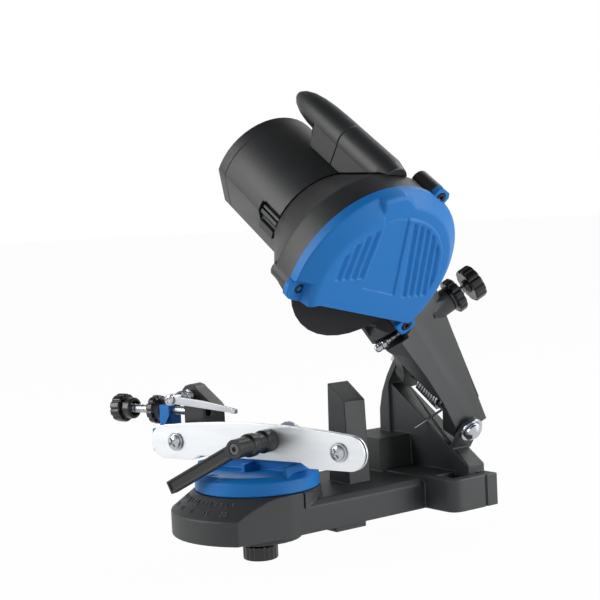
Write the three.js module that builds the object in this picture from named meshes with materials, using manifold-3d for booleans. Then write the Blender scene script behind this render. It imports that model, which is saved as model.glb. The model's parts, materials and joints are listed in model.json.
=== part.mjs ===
import * as THREE from 'three';
import { mergeVertices } from 'three/addons/utils/BufferGeometryUtils.js';
import Module from 'manifold-3d';

// Electric bench sharpener for saw chains, in millimetres with +Z up.
// The origin lies on the bench under the middle of the rear foot.
// +X points to the wheel side, -Y to the turntable in front.

const wasm = await Module();
wasm.setup();

// Driving dimensions of the whole machine
const wheelDiameter = 108;
const wheelThickness = 3.2;
const headTilt = THREE.MathUtils.degToRad(34);
const railTurn = THREE.MathUtils.degToRad(18.3);
const turntableOffset = 130.5;
const railLineHeight = 70.2;
const wheelReach = 43.3;
const wheelRise = 119.2;
const hingeReach = 145;
const hingeRise = 13;
const gap = 0.3;
const overrun = 2;
const weldDistance = 0.0005;

// Finishes
const finish = (color, roughness, metalness) =>
  new THREE.MeshStandardMaterial({ color, roughness, metalness });
const blackPlastic = finish(0x34363a, 0.6, 0);
const blackCasting = finish(0x2e3033, 0.65, 0);
const knobPlastic = finish(0x1c1d1f, 0.35, 0);
const bluePlastic = finish(0x2d6fb8, 0.45, 0);
const polishedSteel = finish(0xd8dadc, 0.25, 0.9);
const zincSteel = finish(0xb4b8bc, 0.35, 0.9);
const springSteel = finish(0x9a9ea3, 0.35, 0.9);
const brass = finish(0xc2a45a, 0.35, 0.9);
const copper = finish(0xb2683a, 0.4, 0.8);
const laminatedSteel = finish(0x6d7278, 0.5, 0.7);
const magnetCeramic = finish(0x4a4643, 0.8, 0);
const grindingStone = finish(0x39393b, 0.95, 0);

// Solids: a closed geometry becomes a manifold and comes back as a geometry
function solidOf(geometry) {
  const bare = geometry.clone();
  bare.deleteAttribute('normal');
  bare.deleteAttribute('uv');
  const merged = mergeVertices(bare, weldDistance);
  const corners = merged.index.array;
  const kept = [];
  for (let i = 0; i < corners.length; i += 3) {
    const [a, b, c] = corners.slice(i, i + 3);
    if (a !== b && b !== c && a !== c) kept.push(a, b, c);
  }
  const vertProperties = new Float32Array(merged.attributes.position.array);
  return new wasm.Manifold(new wasm.Mesh({ numProp: 3, vertProperties, triVerts: new Uint32Array(kept) }));
}

function geometryOf(solid) {
  const mesh = solid.getMesh();
  const geometry = new THREE.BufferGeometry();
  geometry.setAttribute('position', new THREE.BufferAttribute(new Float32Array(mesh.vertProperties), 3));
  geometry.setIndex(new THREE.BufferAttribute(new Uint32Array(mesh.triVerts), 1));
  return geometry;
}

const asSolid = (shape) => (shape.isBufferGeometry ? solidOf(shape) : shape);
const join = (first, ...rest) => rest.reduce((sum, shape) => sum.add(asSolid(shape)), asSolid(first));
const cut = (first, ...tools) => tools.reduce((left, tool) => left.subtract(asSolid(tool)), asSolid(first));
const common = (first, ...rest) => rest.reduce((left, shape) => left.intersect(asSolid(shape)),
  asSolid(first));

// Basic forms, each running along +Z from one height to another
function prism(outline, from, to, curveSegments = 8) {
  const shape = Array.isArray(outline)
    ? new THREE.Shape(outline.map((point) => new THREE.Vector2(...point)))
    : outline;
  const form = new THREE.ExtrudeGeometry(shape, { depth: to - from, bevelEnabled: false, curveSegments });
  return form.translate(0, 0, from);
}

function turned(profile, sides = 20) {
  const points = profile.map(([radius, height]) => new THREE.Vector2(radius, height));
  return new THREE.LatheGeometry(points, sides).rotateX(Math.PI / 2);
}

const rod = (radius, from, to, sides = 12) => turned([[0, from], [radius, from], [radius, to], [0, to]],
  sides);

const ring = (outer, inner, from, to, sides = 16) =>
  turned([[inner, from], [outer, from], [outer, to], [inner, to], [inner, from]], sides);

const chamferedRod = (radius, from, to, chamfer, sides = 24) => turned([[0, from], [radius - chamfer, from],
  [radius, from + chamfer], [radius, to - chamfer], [radius - chamfer, to], [0, to]], sides);

function block(x0, x1, y0, y1, z0, z1) {
  const form = new THREE.BoxGeometry(x1 - x0, y1 - y0, z1 - z0);
  return form.translate((x0 + x1) / 2, (y0 + y1) / 2, (z0 + z1) / 2);
}

const hexagon = (acrossFlats, from, to) => rod(acrossFlats / 2 / Math.cos(Math.PI / 6), from, to, 6);

// Shallow grips all round the rim of a knob
function fluted(body, radius, from, to, flutes, fluteRadius) {
  const reach = radius + fluteRadius / 2;
  const grips = Array.from({ length: flutes }, (_, i) => {
    const angle = (2 * Math.PI * i) / flutes;
    return rod(fluteRadius, from - overrun, to + overrun, 6)
      .translate(reach * Math.cos(angle), reach * Math.sin(angle), 0);
  });
  return cut(body, ...grips);
}

// Turns of forms: an outline in XZ runs along Y, one in YZ runs along X,
// and one in rail direction and height runs towards the front
const acrossDepth = (outline, front, rear, segments) =>
  prism(outline, -rear, -front, segments).rotateX(Math.PI / 2);
const acrossWidth = (outline, left, right, segments) =>
  prism(outline, left, right, segments).rotateX(Math.PI / 2).rotateZ(Math.PI / 2);
const towardsFront = (shape) => shape.rotateX(Math.PI / 2);
const alongRail = (shape) => shape.rotateY(Math.PI / 2);

const add = (parent, name, shape, material) => {
  const geometry = shape.isBufferGeometry ? geometryOf(solidOf(shape)) : geometryOf(shape);
  const mesh = new THREE.Mesh(geometry, material);
  mesh.name = name;
  parent.add(mesh);
  return mesh;
};

// Frames: in the head frame +Z runs along the wheel axis, +X to the rear and +Y up the tilted wheel plane.
// Its origin lies on the rail line above the turntable axis.
const machine = new THREE.Group();
const headMatrix = new THREE.Matrix4().makeBasis(
  new THREE.Vector3(0, 1, 0),
  new THREE.Vector3(Math.sin(headTilt), 0, Math.cos(headTilt)),
  new THREE.Vector3(Math.cos(headTilt), 0, -Math.sin(headTilt)),
).setPosition(0, -turntableOffset, railLineHeight);
const headInverse = headMatrix.clone().invert();
const fromHead = (geometry) => geometry.clone().applyMatrix4(headMatrix);
const toHead = (geometry) => geometry.clone().applyMatrix4(headInverse);

const head = new THREE.Group();
head.applyMatrix4(headMatrix);
machine.add(head);

const hingeLine = new THREE.Group();
hingeLine.position.set(hingeReach, hingeRise, 0);
head.add(hingeLine);

const spindle = new THREE.Group();
spindle.position.set(wheelReach, wheelRise, 0);
head.add(spindle);

const vise = new THREE.Group();
vise.position.set(0, -turntableOffset, 0);
vise.rotation.z = railTurn;
machine.add(vise);

const atHinge = (geometry) => geometry.translate(hingeReach, hingeRise, 0);
const atSpindle = (geometry) => geometry.translate(wheelReach, wheelRise, 0);
const atTurntable = (geometry) => geometry.translate(0, -turntableOffset, 0);

// Hinge line: places along the axis, from the horn on the left to the ear on the right
const boltRadius = 4;
const boltBore = boltRadius + gap;
const earInner = 50.5;
const earThickness = 3.5;
const earOuter = earInner + earThickness;
const earRadius = 9;
const hornInner = -20.4;
const hornBoss = 5;
const hornOuter = hornInner - hornBoss;
const hingeBossRadius = 12;
const saddleRise = -3.2;

// Base frame: one black casting with the rear foot, the beam, the scale fan in front, the depth stop post,
// the pedestal, and the sloping saddle between the horn and the ear
const footWidth = 140;
const footDepth = 41;
const footHeight = 22;
const footCorner = 9;
const slotWidth = 7;
const slotLength = 15;
const slotInset = 17;
const pocketWidth = 16;
const pocketLength = 25;
const pocketDepth = 6;
const grooveWidth = 1.4;
const grooveDepth = 1;
const grooveInset = 10;
const beamWidth = 83;
const beamWall = 17;
const beamHeight = 20.5;
const beamChamfer = 4;
const seatRadius = 42;
const seatHeight = 27.4;
const fanRadius = 57.2;
const fanHalfAngle = THREE.MathUtils.degToRad(41);
const fanWall = 15.5;
const fanShoulder = 7;
const bossDrop = 6.5;
const lugDrop = 4;
const bossRadius = 28;
const lugHalfWidth = 38.5;
const lugFront = 34;
const lugRear = 59.5;
const postLeft = -1.5;
const postRight = 16;
const postFront = 63;
const postRear = 81.6;
const postDraft = 2.4;
const postTopRise = 14.1;
const pedestalLeft = -41;
const pedestalDepth = 44.5;
const pedestalHeight = 44;
const pedestalDraft = 1.2;
const saddleDepth = 15.5;
const saddleRight = 58;
const hornLeft = -31;
const hornHip = -29.8;
const hornHipHeight = 60;
const hornWaist = -26.5;
const hornWaistHeight = 73;
const hornFlare = 2.5;
const studRadius = 4;
const studBore = studRadius + gap;

const riseAt = (x, u) => railLineHeight + (u - x * Math.sin(headTilt)) / Math.cos(headTilt);
const inHead = (u, w) => [u * Math.sin(headTilt) + w * Math.cos(headTilt),
  railLineHeight + u * Math.cos(headTilt) - w * Math.sin(headTilt)];

function footSolid() {
  const half = footWidth / 2;
  const rear = footDepth / 2;
  const outline = new THREE.Shape();
  outline.moveTo(-half, rear);
  outline.lineTo(-half, -rear + footCorner);
  outline.quadraticCurveTo(-half, -rear, -half + footCorner, -rear);
  outline.lineTo(half - footCorner, -rear);
  outline.quadraticCurveTo(half, -rear, half, -rear + footCorner);
  outline.lineTo(half, rear);
  const slots = [-half + slotInset, half - slotInset].flatMap((x) => [
    block(x - slotWidth / 2, x + slotWidth / 2, -slotLength / 2, slotLength / 2, -overrun,
    footHeight + overrun),
    block(x - pocketWidth / 2, x + pocketWidth / 2, -pocketLength / 2, pocketLength / 2,
      footHeight - pocketDepth, footHeight + overrun),
  ]);
  const grooves = [-half, half].map((x) => block(x - grooveDepth, x + grooveDepth,
    rear - grooveInset - grooveWidth, rear - grooveInset, -overrun, footHeight + overrun));
  return cut(prism(outline, 0, footHeight, 5), ...slots, ...grooves);
}

function beamSolid() {
  const half = beamWidth / 2;
  const section = [[-half, 0], [half, 0], [half, beamWall], [half - beamChamfer, beamHeight],
    [-half + beamChamfer, beamHeight], [-half, beamWall]];
  return acrossDepth(section, -turntableOffset, -footDepth / 2 + overrun);
}

function fanSolid() {
  const sideX = fanRadius * Math.sin(fanHalfAngle);
  const sideY = -fanRadius * Math.cos(fanHalfAngle);
  const outline = new THREE.Shape();
  outline.moveTo(sideX, sideY);
  outline.lineTo(beamWidth / 2, -fanShoulder);
  outline.lineTo(beamWidth / 2, fanShoulder);
  outline.lineTo(-beamWidth / 2, fanShoulder);
  outline.lineTo(-beamWidth / 2, -fanShoulder);
  outline.lineTo(-sideX, sideY);
  outline.absarc(0, 0, fanRadius, -Math.PI / 2 - fanHalfAngle, -Math.PI / 2 + fanHalfAngle, false);
  const slope = (seatHeight - fanWall) / (fanRadius - seatRadius);
  const skirtRadius = fanRadius + overrun;
  const cone = turned([[0, 0], [skirtRadius, 0], [skirtRadius, fanWall - slope * overrun],
    [seatRadius, seatHeight], [0, seatHeight]], 36);
  return atTurntable(geometryOf(common(prism(outline, 0, seatHeight + overrun, 14), cone)));
}

function hornSolid() {
  const rear = footDepth / 2;
  const hingeY = hingeReach - turntableOffset;
  const front = rear - saddleDepth;
  const [, bossHeight] = inHead(hingeRise, hornOuter);
  const [saddleX] = inHead(saddleRise, hornInner);
  const saddleStart = riseAt(saddleX, saddleRise);
  const saddleFace = [[hornLeft, beamHeight - overrun], [saddleRight, beamHeight - overrun],
    [saddleRight, riseAt(saddleRight, saddleRise)], [saddleX, saddleStart], [hornLeft, pedestalHeight]];
  const hornFace = [[hornLeft, beamHeight - overrun], [saddleX, beamHeight - overrun], [saddleX, saddleStart],
    inHead(hingeRise, hornInner), inHead(hingeRise, hornOuter),
    inHead(hingeRise - hingeBossRadius, hornOuter), [hornWaist, hornWaistHeight], [hornHip, hornHipHeight]];
  const crown = bossHeight + footDepth;
  const side = [[front, 0], [rear, 0], [rear, pedestalHeight], [hingeY + hingeBossRadius,
    bossHeight - hingeBossRadius],
    [hingeY + hingeBossRadius, crown], [hingeY - hingeBossRadius, crown],
    [hingeY - hingeBossRadius, bossHeight - hingeBossRadius], [front - hornFlare, pedestalHeight]];
  const horn = common(acrossDepth(hornFace, -footDepth, footDepth), acrossWidth(side, -footWidth, footWidth));
  return join(horn, acrossDepth(saddleFace, front, rear), fromHead(atHinge(rod(hingeBossRadius, hornOuter,
    hornInner, 24))));
}

function earSolid() {
  const cheek = block(-earRadius, earRadius, saddleRise - hingeRise - overrun, 0, earInner, earOuter);
  return join(fromHead(atHinge(rod(earRadius, earInner, earOuter))), fromHead(atHinge(cheek)));
}

function baseFrame() {
  const rear = footDepth / 2;
  const foot = beamHeight - overrun;
  const boss = atTurntable(rod(bossRadius, -bossDrop, overrun, 28));
  const lug = atTurntable(block(-lugHalfWidth, lugHalfWidth, lugFront, lugRear, -lugDrop, overrun));
  const seat = atTurntable(rod(seatRadius, 0, seatHeight, 36));
  const postFace = [[postLeft - postDraft, foot], [postRight + postDraft, foot],
    [postRight, riseAt(postRight, postTopRise)], [postLeft, riseAt(postLeft, postTopRise)]];
  const post = atTurntable(acrossDepth(postFace, postFront, postRear));
  const pedestalFace = [[pedestalLeft - pedestalDraft, foot], [pedestalDraft, foot], [0, pedestalHeight],
    [pedestalLeft, pedestalHeight]];
  const pedestal = acrossDepth(pedestalFace, rear - pedestalDepth, rear);
  const bolt = fromHead(atHinge(rod(boltBore, hornOuter - overrun, earOuter + overrun)));
  const stud = atTurntable(rod(studBore, -bossDrop - overrun, seatHeight + overrun));
  const whole = join(footSolid(), beamSolid(), fanSolid(), seat, boss, lug, post, pedestal, hornSolid(),
    earSolid());
  return cut(whole, bolt, stud);
}
add(machine, 'base_frame', baseFrame(), blackCasting);

// Swivel lock: a stud on the turntable axis with a round knob under the base
const lockKnobRadius = 11.65;
const lockKnobBottom = 20.5;
const lockKnobChamfer = 1.2;
const swivelWasherThickness = 1.6;
const swivelWasherRadius = 10;
const studFloor = 3;
const discEdge = 8.3;
const studCover = 3;
const washerTop = -bossDrop - gap;
const knobTop = washerTop - swivelWasherThickness - gap;
const discBottom = seatHeight + gap;
const studTop = discBottom + discEdge - studCover;

const swivel = new THREE.Group();
swivel.position.set(0, -turntableOffset, 0);
machine.add(swivel);
add(swivel, 'swivel_stud', rod(studRadius, -lockKnobBottom + studFloor + gap, studTop), zincSteel);
add(swivel, 'swivel_washer', ring(swivelWasherRadius, studBore, washerTop - swivelWasherThickness, washerTop),
  zincSteel);
add(swivel, 'swivel_lock_knob', cut(chamferedRod(lockKnobRadius, -lockKnobBottom, knobTop, lockKnobChamfer,
  28),
  rod(studBore, -lockKnobBottom + studFloor, knobTop + overrun)), knobPlastic);

// Turntable: a blue moulding with a round disc, and an upright rail body that carries the two plates.
// Heights are over the bench, and the rail runs along the local X axis.
const discRadius = 40.9;
const discChamfer = 3.4;
const discTop = discBottom + discEdge + discChamfer;
const plateThickness = 1.5;
const chainSlot = 1.5;
const frontPlateFace = 9.5;
const frontPlateBack = frontPlateFace - plateThickness;
const rearPlateFace = frontPlateBack - chainSlot;
const rearPlateBack = rearPlateFace - plateThickness;
const bodyFace = rearPlateBack - gap;
const bodyBack = -8;
const plateLeft = -80.7;
const plateRight = 89.7;
const plateCrown = 70;
const plateShoulder = 65.7;
const plateSole = 46.6;
const plateToe = 43.2;
const plateWaistLeft = -40;
const plateWaistRight = 42;
const plateStep = 6;
const railTop = 62;
const railMargin = 0.8;
const webHalfLength = 36;
const webBack = -12;
const gussetWidth = 3;
const gussetReach = 12;
const pointerWidth = 9;
const pointerDepth = 2.4;
const clampBoltPlace = 18;
const clampBoltHeight = 60;
const clampBoltRadius = 4;
const railScrewPlaces = { left: -59.4, right: 71.1 };
const railScrewHeight = 55;
const railScrewRadius = 2.5;

// Chain stop places
const adjusterHeight = 73;
const adjusterDepth = -10;
const adjusterRadius = 3;
const lugLeft = -84;
const lugWidth = 9;
const lugCrown = 7;
const lugHeight = adjusterHeight + lugCrown;
const lugHalfDepth = 6.5;

function plateOutline(left, right, toe, sole, shoulder, crown) {
  const shape = new THREE.Shape();
  const end = (shoulder - toe) / 2;
  const middle = (shoulder + toe) / 2;
  shape.moveTo(left + end, shoulder);
  shape.absarc(left + end, middle, end, Math.PI / 2, (3 * Math.PI) / 2, false);
  shape.lineTo(plateWaistLeft - plateStep, toe);
  shape.lineTo(plateWaistLeft, sole);
  shape.lineTo(plateWaistRight, sole);
  shape.lineTo(plateWaistRight + plateStep, toe);
  shape.lineTo(right - end, toe);
  shape.absarc(right - end, middle, end, -Math.PI / 2, Math.PI / 2, false);
  shape.quadraticCurveTo((left + right) / 2, 2 * crown - shoulder, left + end, shoulder);
  return shape;
}

const railHole = (radius, place, height, front) =>
  towardsFront(rod(radius, webBack - overrun, front + overrun, 14)).translate(place, 0, height);

const railHoles = (front) => [
  railHole(clampBoltRadius + gap, clampBoltPlace, clampBoltHeight, front),
  ...Object.values(railScrewPlaces).map((place) => railHole(railScrewRadius + gap, place, railScrewHeight,
  front)),
];

function railPlate(back) {
  const outline = plateOutline(plateLeft, plateRight, plateToe, plateSole, plateShoulder, plateCrown);
  return cut(towardsFront(prism(outline, back, back + plateThickness, 10)), ...railHoles(frontPlateFace));
}

function turntableBody() {
  const disc = turned([[0, discBottom], [discRadius, discBottom], [discRadius, discBottom + discEdge],
    [discRadius - discChamfer, discTop], [0, discTop]], 36);
  const barOutline = plateOutline(plateLeft - railMargin, plateRight + railMargin, plateToe, plateSole,
    railTop, railTop);
  const bar = towardsFront(prism(barOutline, bodyBack, bodyFace, 10));
  const web = block(-webHalfLength, webHalfLength, -bodyFace, -webBack, discTop - overrun, railTop);
  const gussets = [-webHalfLength, 0, webHalfLength - gussetWidth].map((x) =>
    block(x, x + gussetWidth, -bodyFace - gussetReach, overrun, discTop - overrun, plateSole - overrun));
  const pointer = acrossDepth([[-pointerWidth / 2, discTop - overrun], [pointerWidth / 2, discTop - overrun],
    [0, discTop]], -discRadius + discChamfer - pointerDepth, -discRadius + discChamfer + overrun);
  const lugArm = block(lugLeft, lugLeft + lugWidth, -adjusterDepth - lugHalfDepth,
    -adjusterDepth + lugHalfDepth,
    plateSole, lugHeight);
  const lugFoot = block(lugLeft, lugLeft + lugWidth, -bodyFace, -adjusterDepth + lugHalfDepth, plateSole,
    railTop);
  const adjuster = alongRail(rod(adjusterRadius + gap, lugLeft - overrun, lugLeft + lugWidth + overrun, 14))
    .translate(0, -adjusterDepth, adjusterHeight);
  const stud = rod(studBore, discBottom - overrun, studTop + gap);
  return cut(join(disc, bar, web, ...gussets, pointer, lugArm, lugFoot), ...railHoles(bodyFace), adjuster,
    stud);
}
add(vise, 'turntable', turntableBody(), bluePlastic);
add(vise, 'rear_rail_plate', railPlate(rearPlateBack), polishedSteel);
add(vise, 'front_rail_plate', railPlate(frontPlateBack), polishedSteel);

// Rail screws: a pan head with a captive washer in front of the plates and a nut behind the rail body
const railScrewHead = 4.8;
const railScrewHeadHeight = 2.6;
const railWasherThickness = 1;
const railWasherRadius = 6.2;
const railNut = 8;
const railNutHeight = 4;
const railScrewTail = 2;
const driveWidth = 1.2;
const driveDepth = 1;

for (const [side, place] of Object.entries(railScrewPlaces)) {
  const screw = new THREE.Group();
  screw.position.set(place, 0, railScrewHeight);
  vise.add(screw);
  const washerFace = frontPlateFace + gap + railWasherThickness;
  const headFace = washerFace + railScrewHeadHeight;
  const tail = bodyBack - gap - railNutHeight - railScrewTail;
  const headBody = turned([[0, tail], [railScrewRadius, tail], [railScrewRadius, frontPlateFace + gap],
    [railWasherRadius, frontPlateFace + gap], [railWasherRadius, washerFace], [railScrewHead, washerFace],
    [railScrewHead, headFace - railScrewHeadHeight / 2],
    [railScrewHead / 2, headFace], [0, headFace]], 14);
  const drive = [0, Math.PI / 2].map((turn) => block(-railScrewHead / 2, railScrewHead / 2, -driveWidth / 2,
    driveWidth / 2, headFace - driveDepth, headFace + overrun).rotateZ(turn));
  add(screw, `rail_screw_${side}`, towardsFront(geometryOf(cut(headBody, ...drive))), zincSteel);
  const nut = cut(hexagon(railNut, bodyBack - gap - railNutHeight, bodyBack - gap),
    rod(railScrewRadius + gap, tail, 0, 14));
  add(screw, `rail_nut_${side}`, towardsFront(geometryOf(nut)), zincSteel);
}

// Chain clamp: a bolt through the rail with a ribbed hub and a long flat lever
const clampHubRadius = 7.5;
const clampHubNeck = 6.2;
const clampHubStart = frontPlateFace + gap;
const clampHubEnd = 47;
const leverLength = 61;
const leverWidth = 8.6;
const leverThickness = 6;
const leverDrop = THREE.MathUtils.degToRad(27.4);
const leverGroove = 1;
const leverGrooveMargin = 1.6;
const leverScrewRadius = 3.6;
const leverScrewDepth = 4;
const leverSocket = 3;
const clampBoltEnd = 36;
const clampBoltHead = 13;
const clampBoltHeadHeight = 5;
const clampWasherRadius = 9;
const clampWasherThickness = 1.2;
const hubBandShares = [0, 0.22, 0.27, 0.42, 0.47, 0.62, 0.67, 1];

const clamp = new THREE.Group();
clamp.position.set(clampBoltPlace, 0, clampBoltHeight);
vise.add(clamp);
const clampWasherFace = webBack - gap;
const clampNutFace = clampWasherFace - clampWasherThickness - gap;

const hubHeight = (share) => clampHubStart + (clampHubEnd - clampHubStart) * share;

function clampLever() {
  const profile = hubBandShares.flatMap((share, i) => {
    const wide = i % 4 === 0 || i % 4 === 1;
    return [[wide ? clampHubRadius : clampHubNeck, hubHeight(share)]];
  });
  const hub = turned([[0, clampHubStart], ...profile, [0, clampHubEnd]], 20);
  const bar = block(-leverLength, 0, -leverWidth / 2, leverWidth / 2, clampHubEnd - leverThickness,
    clampHubEnd);
  const groove = block(-leverLength + leverGrooveMargin, -clampHubRadius, -leverWidth / 2 + leverGrooveMargin,
    leverWidth / 2 - leverGrooveMargin, clampHubEnd - leverGroove, clampHubEnd + overrun);
  const lever = cut(join(hub, geometryOf(cut(bar, groove)).rotateZ(leverDrop)),
    rod(clampBoltRadius + gap, clampHubStart - overrun, clampBoltEnd + gap, 14),
    rod(leverScrewRadius + gap, clampHubEnd - leverScrewDepth, clampHubEnd + overrun, 14));
  return towardsFront(geometryOf(lever));
}
add(clamp, 'clamp_lever', clampLever(), knobPlastic);

const leverScrew = cut(rod(leverScrewRadius, clampHubEnd - leverScrewDepth + gap, clampHubEnd - gap, 14),
  hexagon(leverSocket, clampHubEnd - leverScrewDepth / 2, clampHubEnd + overrun));
add(clamp, 'lever_screw', towardsFront(geometryOf(leverScrew)), zincSteel);
const clampBolt = join(rod(clampBoltRadius, clampNutFace, clampBoltEnd, 14),
  hexagon(clampBoltHead, clampNutFace - clampBoltHeadHeight, clampNutFace));
add(clamp, 'clamp_bolt', towardsFront(geometryOf(clampBolt)), zincSteel);
add(clamp, 'clamp_washer', towardsFront(ring(clampWasherRadius, clampBoltRadius + gap,
  clampWasherFace - clampWasherThickness, clampWasherFace, 20)), zincSteel);

// Chain stop: a black carriage on the rail body, moved by a screw, with a swinging pawl in front
const carriageLeft = -62;
const carriageRight = -38;
const carriageFront = -4;
const carriageBack = -18;
const carriageCrown = 5;
const carriageTop = adjusterHeight + carriageCrown;
const pivotPlace = -66;
const pivotRise = 9.5;
const pivotHeight = adjusterHeight + pivotRise;
const pivotHubRadius = 8;
const pivotHubBack = -28;
const pivotHubFront = -16;
const pivotArmPlace = -40;
const pivotArmRise = 2;
const pivotArmHeight = adjusterHeight + pivotArmRise;
const pivotScrewRadius = 2;
const pivotScrewHead = 3.8;
const pivotScrewHeadHeight = 2.2;
const pawlBack = 3.8;
const pawlThickness = 1.8;
const pawlTipPlace = -10.2;
const pawlTipDrop = 4.7;
const pawlTipHeight = pivotHeight - pawlTipDrop;
const pawlWidth = 5;
const pawlEyeRadius = 4.2;
const pawlTipDepth = 3.6;
const pawlTipLength = 3;
const pawlTipWidth = 3;
const sleeveRadius = 3.4;
const sleeveShoulder = 4.6;
const sleeveShoulderLength = 2;

const stop = new THREE.Group();
stop.position.set(pivotPlace, 0, pivotHeight);
vise.add(stop);

function stopBracket() {
  const hub = towardsFront(rod(pivotHubRadius, pivotHubBack, pivotHubFront)).translate(pivotPlace, 0,
    pivotHeight);
  const armOutline = [[pivotPlace, pivotHeight + pivotHubRadius], [pivotPlace - pivotHubRadius, pivotHeight],
    [pivotPlace, pivotHeight - pivotHubRadius], [carriageLeft, railTop + gap], [carriageRight, railTop + gap],
    [carriageRight, pivotArmHeight], [pivotArmPlace, pivotArmHeight + overrun]];
  const arm = towardsFront(prism(armOutline, pivotHubBack, pivotHubFront));
  const carriage = block(carriageLeft, carriageRight, -carriageFront, -carriageBack, railTop + gap,
    carriageTop);
  const thread = alongRail(rod(adjusterRadius + gap, pivotPlace - pivotHubRadius - overrun,
    carriageRight + overrun, 14))
    .translate(0, -adjusterDepth, adjusterHeight);
  const pivot = towardsFront(rod(pivotScrewRadius + gap, pivotHubBack - overrun, pivotHubFront + overrun, 12))
    .translate(pivotPlace, 0, pivotHeight);
  return cut(join(hub, arm, carriage), thread, pivot);
}
add(vise, 'stop_bracket', stopBracket(), blackPlastic);

function pawlSolid() {
  const run = pawlTipPlace - pivotPlace;
  const drop = pawlTipHeight - pivotHeight;
  const length = Math.hypot(run, drop);
  const strip = block(0, length, -pawlWidth / 2, pawlWidth / 2, pawlBack, pawlBack + pawlThickness);
  const hook = block(length - pawlTipLength, length, -pawlWidth / 2, pawlWidth / 2,
    pawlBack, pawlBack + pawlTipDepth);
  const taper = prism([[length / 2, pawlWidth / 2], [length + overrun, pawlTipWidth / 2 - pawlWidth / 4],
    [length + overrun, pawlWidth]], pawlBack - overrun, pawlBack + pawlTipDepth + overrun);
  const body = cut(join(strip, hook, rod(pawlEyeRadius, pawlBack, pawlBack + pawlThickness)), taper,
    rod(pivotScrewRadius + gap, pawlBack - overrun, pawlBack + pawlThickness + overrun, 12));
  return towardsFront(geometryOf(body).rotateZ(Math.atan2(drop, run)));
}
add(stop, 'pawl', pawlSolid(), zincSteel);

const pawlFace = pawlBack + pawlThickness + gap;
const pivotScrew = cut(turned([[0, pivotHubBack], [pivotScrewRadius, pivotHubBack], [pivotScrewRadius,
  pawlFace],
  [pivotScrewHead, pawlFace], [pivotScrewHead, pawlFace + pivotScrewHeadHeight / 2],
  [pivotScrewHead / 2, pawlFace + pivotScrewHeadHeight], [0, pawlFace + pivotScrewHeadHeight]], 14),
...[0, Math.PI / 2].map((turn) => block(-pivotScrewHead / 2, pivotScrewHead / 2, -driveWidth / 2,
driveWidth / 2,
  pawlFace + pivotScrewHeadHeight - driveDepth, pawlFace + pivotScrewHeadHeight + overrun).rotateZ(turn)));
add(stop, 'pawl_pivot_screw', towardsFront(geometryOf(pivotScrew)), zincSteel);
const sleeveBack = pivotHubFront + gap;
const sleeveFront = pawlBack - gap;
const sleeveBore = pivotScrewRadius + gap;
add(stop, 'pawl_sleeve', towardsFront(turned([[sleeveBore, sleeveBack], [sleeveShoulder, sleeveBack],
  [sleeveShoulder, sleeveBack + sleeveShoulderLength], [sleeveRadius, sleeveBack + sleeveShoulderLength],
  [sleeveRadius, sleeveFront], [sleeveBore, sleeveFront], [sleeveBore, sleeveBack]], 14)), zincSteel);

// Coil springs: an unbroken tube of five sides and eight steps a turn along a helix with straight ends
const coilSteps = 8;
const coilSides = 5;

function coilPoints(radius, pitch, turns, startAngle) {
  const count = Math.round(turns * coilSteps);
  return Array.from({ length: count + 1 }, (_, i) => {
    const angle = startAngle + (2 * Math.PI * i) / coilSteps;
    return new THREE.Vector3(radius * Math.cos(angle), radius * Math.sin(angle), (pitch * i) / coilSteps);
  });
}

function tubeAlong(points, radius) {
  const frames = points.map((point, i) => {
    const before = points[Math.max(i - 1, 0)];
    const after = points[Math.min(i + 1, points.length - 1)];
    return new THREE.Vector3().subVectors(after, before).normalize();
  });
  const positions = [];
  let normal = new THREE.Vector3(0, 0, 1);
  points.forEach((point, i) => {
    const tangent = frames[i];
    normal = normal.clone().addScaledVector(tangent, -normal.dot(tangent)).normalize();
    const side = new THREE.Vector3().crossVectors(tangent, normal);
    for (let k = 0; k < coilSides; k += 1) {
      const angle = (2 * Math.PI * k) / coilSides;
      const rim = point.clone().addScaledVector(normal, radius * Math.cos(angle))
        .addScaledVector(side, radius * Math.sin(angle));
      positions.push(rim.x, rim.y, rim.z);
    }
  });
  const index = [];
  for (let i = 0; i < points.length - 1; i += 1) {
    for (let k = 0; k < coilSides; k += 1) {
      const a = i * coilSides + k;
      const b = i * coilSides + ((k + 1) % coilSides);
      index.push(a, b, a + coilSides, b, b + coilSides, a + coilSides);
    }
  }
  const last = (points.length - 1) * coilSides;
  for (let k = 1; k < coilSides - 1; k += 1) {
    index.push(0, k + 1, k, last, last + k, last + k + 1);
  }
  const geometry = new THREE.BufferGeometry();
  geometry.setAttribute('position', new THREE.BufferAttribute(new Float32Array(positions), 3));
  geometry.setIndex(index);
  return geometry;
}

// The least gap of a tube to itself, from the points of its middle line that are over half a turn apart
function leastGap(points, radius) {
  let least = Infinity;
  for (let i = 0; i < points.length; i += 1) {
    for (let j = i + coilSteps / 2; j < points.length; j += 1) {
      least = Math.min(least, points[i].distanceTo(points[j]));
    }
  }
  return least - 2 * radius;
}

function coilSpring(name, points, radius) {
  console.log(`${name}: least gap to itself ${leastGap(points, radius).toFixed(2)} mm`);
  return tubeAlong(points, radius);
}

// Pawl spring: a light coil round the sleeve, with one end on the bracket and one on the pawl
const pawlWire = 0.45;
const pawlCoilRadius = 4.3;
const pawlCoilPitch = 1.5;
const pawlCoilTurns = 5;
const pawlCoilStart = -10.5;
const pawlLegLength = 4;

function pawlSpring() {
  const coil = coilPoints(pawlCoilRadius, pawlCoilPitch, pawlCoilTurns, 0);
  const first = coil[0].clone().add(new THREE.Vector3(0, -pawlLegLength, 0));
  const last = coil[coil.length - 1].clone().add(new THREE.Vector3(0, pawlLegLength, 0));
  return coilSpring('pawl_spring', [first, ...coil, last], pawlWire).translate(0, 0, pawlCoilStart);
}
add(stop, 'pawl_spring', towardsFront(pawlSpring()), springSteel);

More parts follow.
